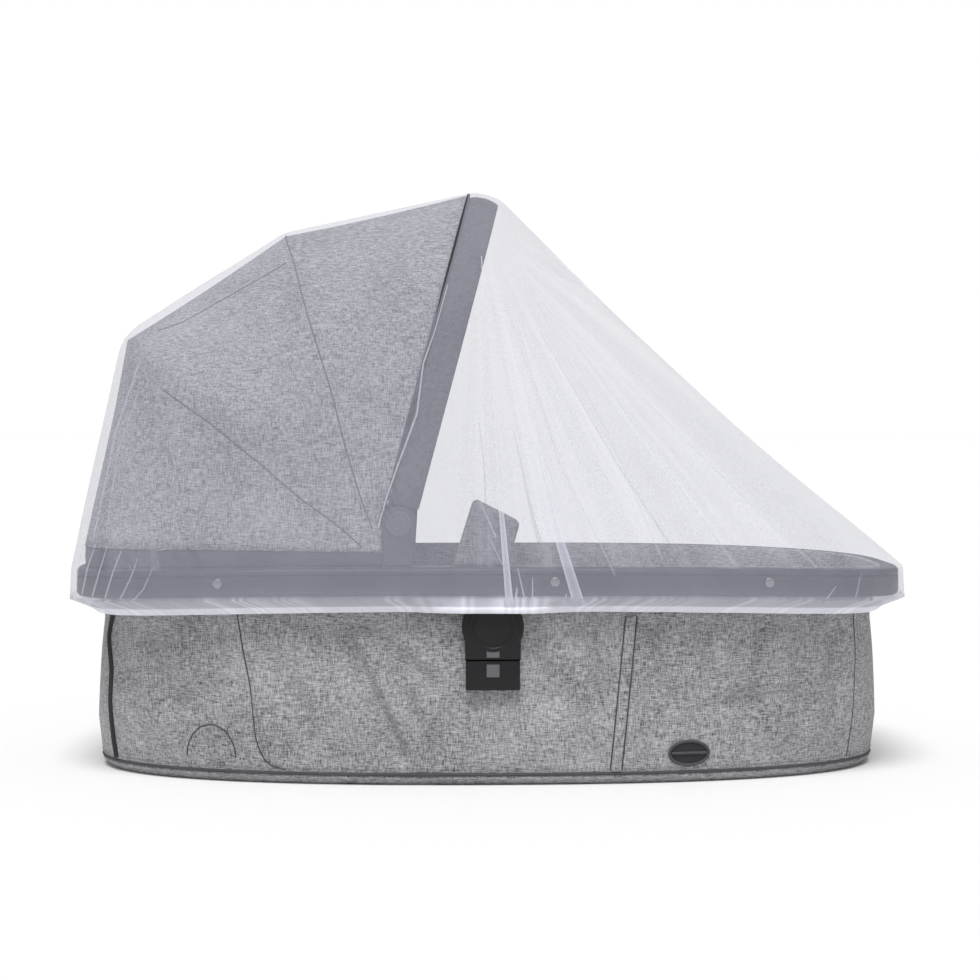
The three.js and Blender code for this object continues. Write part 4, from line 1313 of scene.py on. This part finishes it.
# How many layers of net lie at each depth of the skirt, down to its doubled hem
SKIRT_LAYERS = [(0.0, 1.0), (16.0, 1.0), (26.0, 1.2), (30.0, 3.6), (36.9, 4.4), (37.4, 9.0), (43.0, 9.0)]
skirt_layers = []
for below in [0.0, *skirt_levels][::-1]:
    uneven = 0.8 if below > 28 else 0.096
    skirt_layers.append(np.interp(below, *np.array(SKIRT_LAYERS).T) * (1 + uneven * (fine - 0.35)))
net_parts = [(net_top, top_layers), (skirt, np.concatenate(skirt_layers))]
crease_shares = [share for _, share in CREASE_SECTION]
for crease, extra in crease_rows:
    count = len(crease.data.vertices) // len(crease_shares)
    net_parts.append((crease, extra * np.tile(crease_shares, count)))
for thing, values in net_parts:
    thing.data.attributes.new("layers", "FLOAT", "POINT")
    thing.data.attributes["layers"].data.foreach_set("value", values.astype(np.float32))
parts = [thing for thing, _ in net_parts]
chosen = {"active_object": net_top, "object": net_top}
with bpy.context.temp_override(**chosen, selected_objects=parts, selected_editable_objects=parts):
    bpy.ops.object.join()


def net_group():
    """Sheer net: how much of each place is thread, from the layers that lie there, and its height."""
    sizes = {"Thread": 0.25, "Mesh": 800.0, "Streak": 24.0}
    group, nodes, links, given, out = number_group("sheer_net", sizes, ("Cover", "Height"))
    calc = maths(nodes, links)
    cloth = nodes.new("ShaderNodeUVMap")
    cloth.uv_map = "cloth"
    apart = nodes.new("ShaderNodeSeparateXYZ")
    links.new(cloth.outputs["UV"], apart.inputs["Vector"])
    place = nodes.new("ShaderNodeTexCoord")
    drift = nodes.new("ShaderNodeTexNoise")
    drift.inputs["Scale"].default_value = 260
    links.new(place.outputs["Object"], drift.inputs["Vector"])
    wander = calc("MULTIPLY", drift.outputs["Fac"], 3.0)
    mesh = given.outputs["Mesh"]
    u, v = (calc("ADD", calc("MULTIPLY", apart.outputs[axis], mesh), wander) for axis in ("X", "Y"))
    slant_a = calc("ABSOLUTE", calc("SINE", calc("MULTIPLY", calc("ADD", u, v), math.pi / 2)))
    slant_b = calc("ABSOLUTE", calc("SINE", calc("MULTIPLY", calc("SUBTRACT", u, v), math.pi / 2)))
    holes = calc("MULTIPLY", slant_a, slant_b)
    streaks = nodes.new("ShaderNodeTexNoise")
    links.new(place.outputs["Object"], streaks.inputs["Vector"])
    links.new(given.outputs["Streak"], streaks.inputs["Scale"])
    streaks.inputs["Detail"].default_value = 3
    uneven = calc("ADD", calc("MULTIPLY", streaks.outputs["Fac"], 0.24), 0.88)
    fibre = nodes.new("ShaderNodeTexNoise")
    fibre.inputs["Scale"].default_value = 700
    links.new(place.outputs["Object"], fibre.inputs["Vector"])
    fuzz = calc("ADD", calc("MULTIPLY", fibre.outputs["Fac"], 0.5), 0.87)
    threads = calc("ADD", calc("MULTIPLY", holes, -0.3), fuzz)
    lying = nodes.new("ShaderNodeAttribute")
    lying.attribute_name = "layers"
    count = calc("MULTIPLY", calc("MULTIPLY", lying.outputs["Fac"], uneven), threads)
    through = calc("POWER", calc("SUBTRACT", 1.0, given.outputs["Thread"]), count)
    links.new(calc("SUBTRACT", 1.0, through), out.inputs["Cover"])
    links.new(threads, out.inputs["Height"])
    return group


net_paint, nodes, links, surface = shader("sheer_white_net")
sheer = nodes.new("ShaderNodeGroup")
sheer.node_tree = net_group()
links.new(sheer.outputs["Cover"], surface.inputs["Alpha"])
tinted(nodes, links, surface, sheer.outputs["Cover"], (0.55, 0.56, 0.69), (0.86, 0.865, 0.93))
surface.inputs["Roughness"].default_value = 0.75
surface.inputs["Specular IOR Level"].default_value = 0.2
bumped(nodes, links, surface, sheer.outputs["Height"], 0.2, 0.0002)
net_top.data.materials.clear()
net_top.data.materials.append(net_paint)
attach(net_top, "root")
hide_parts("net")
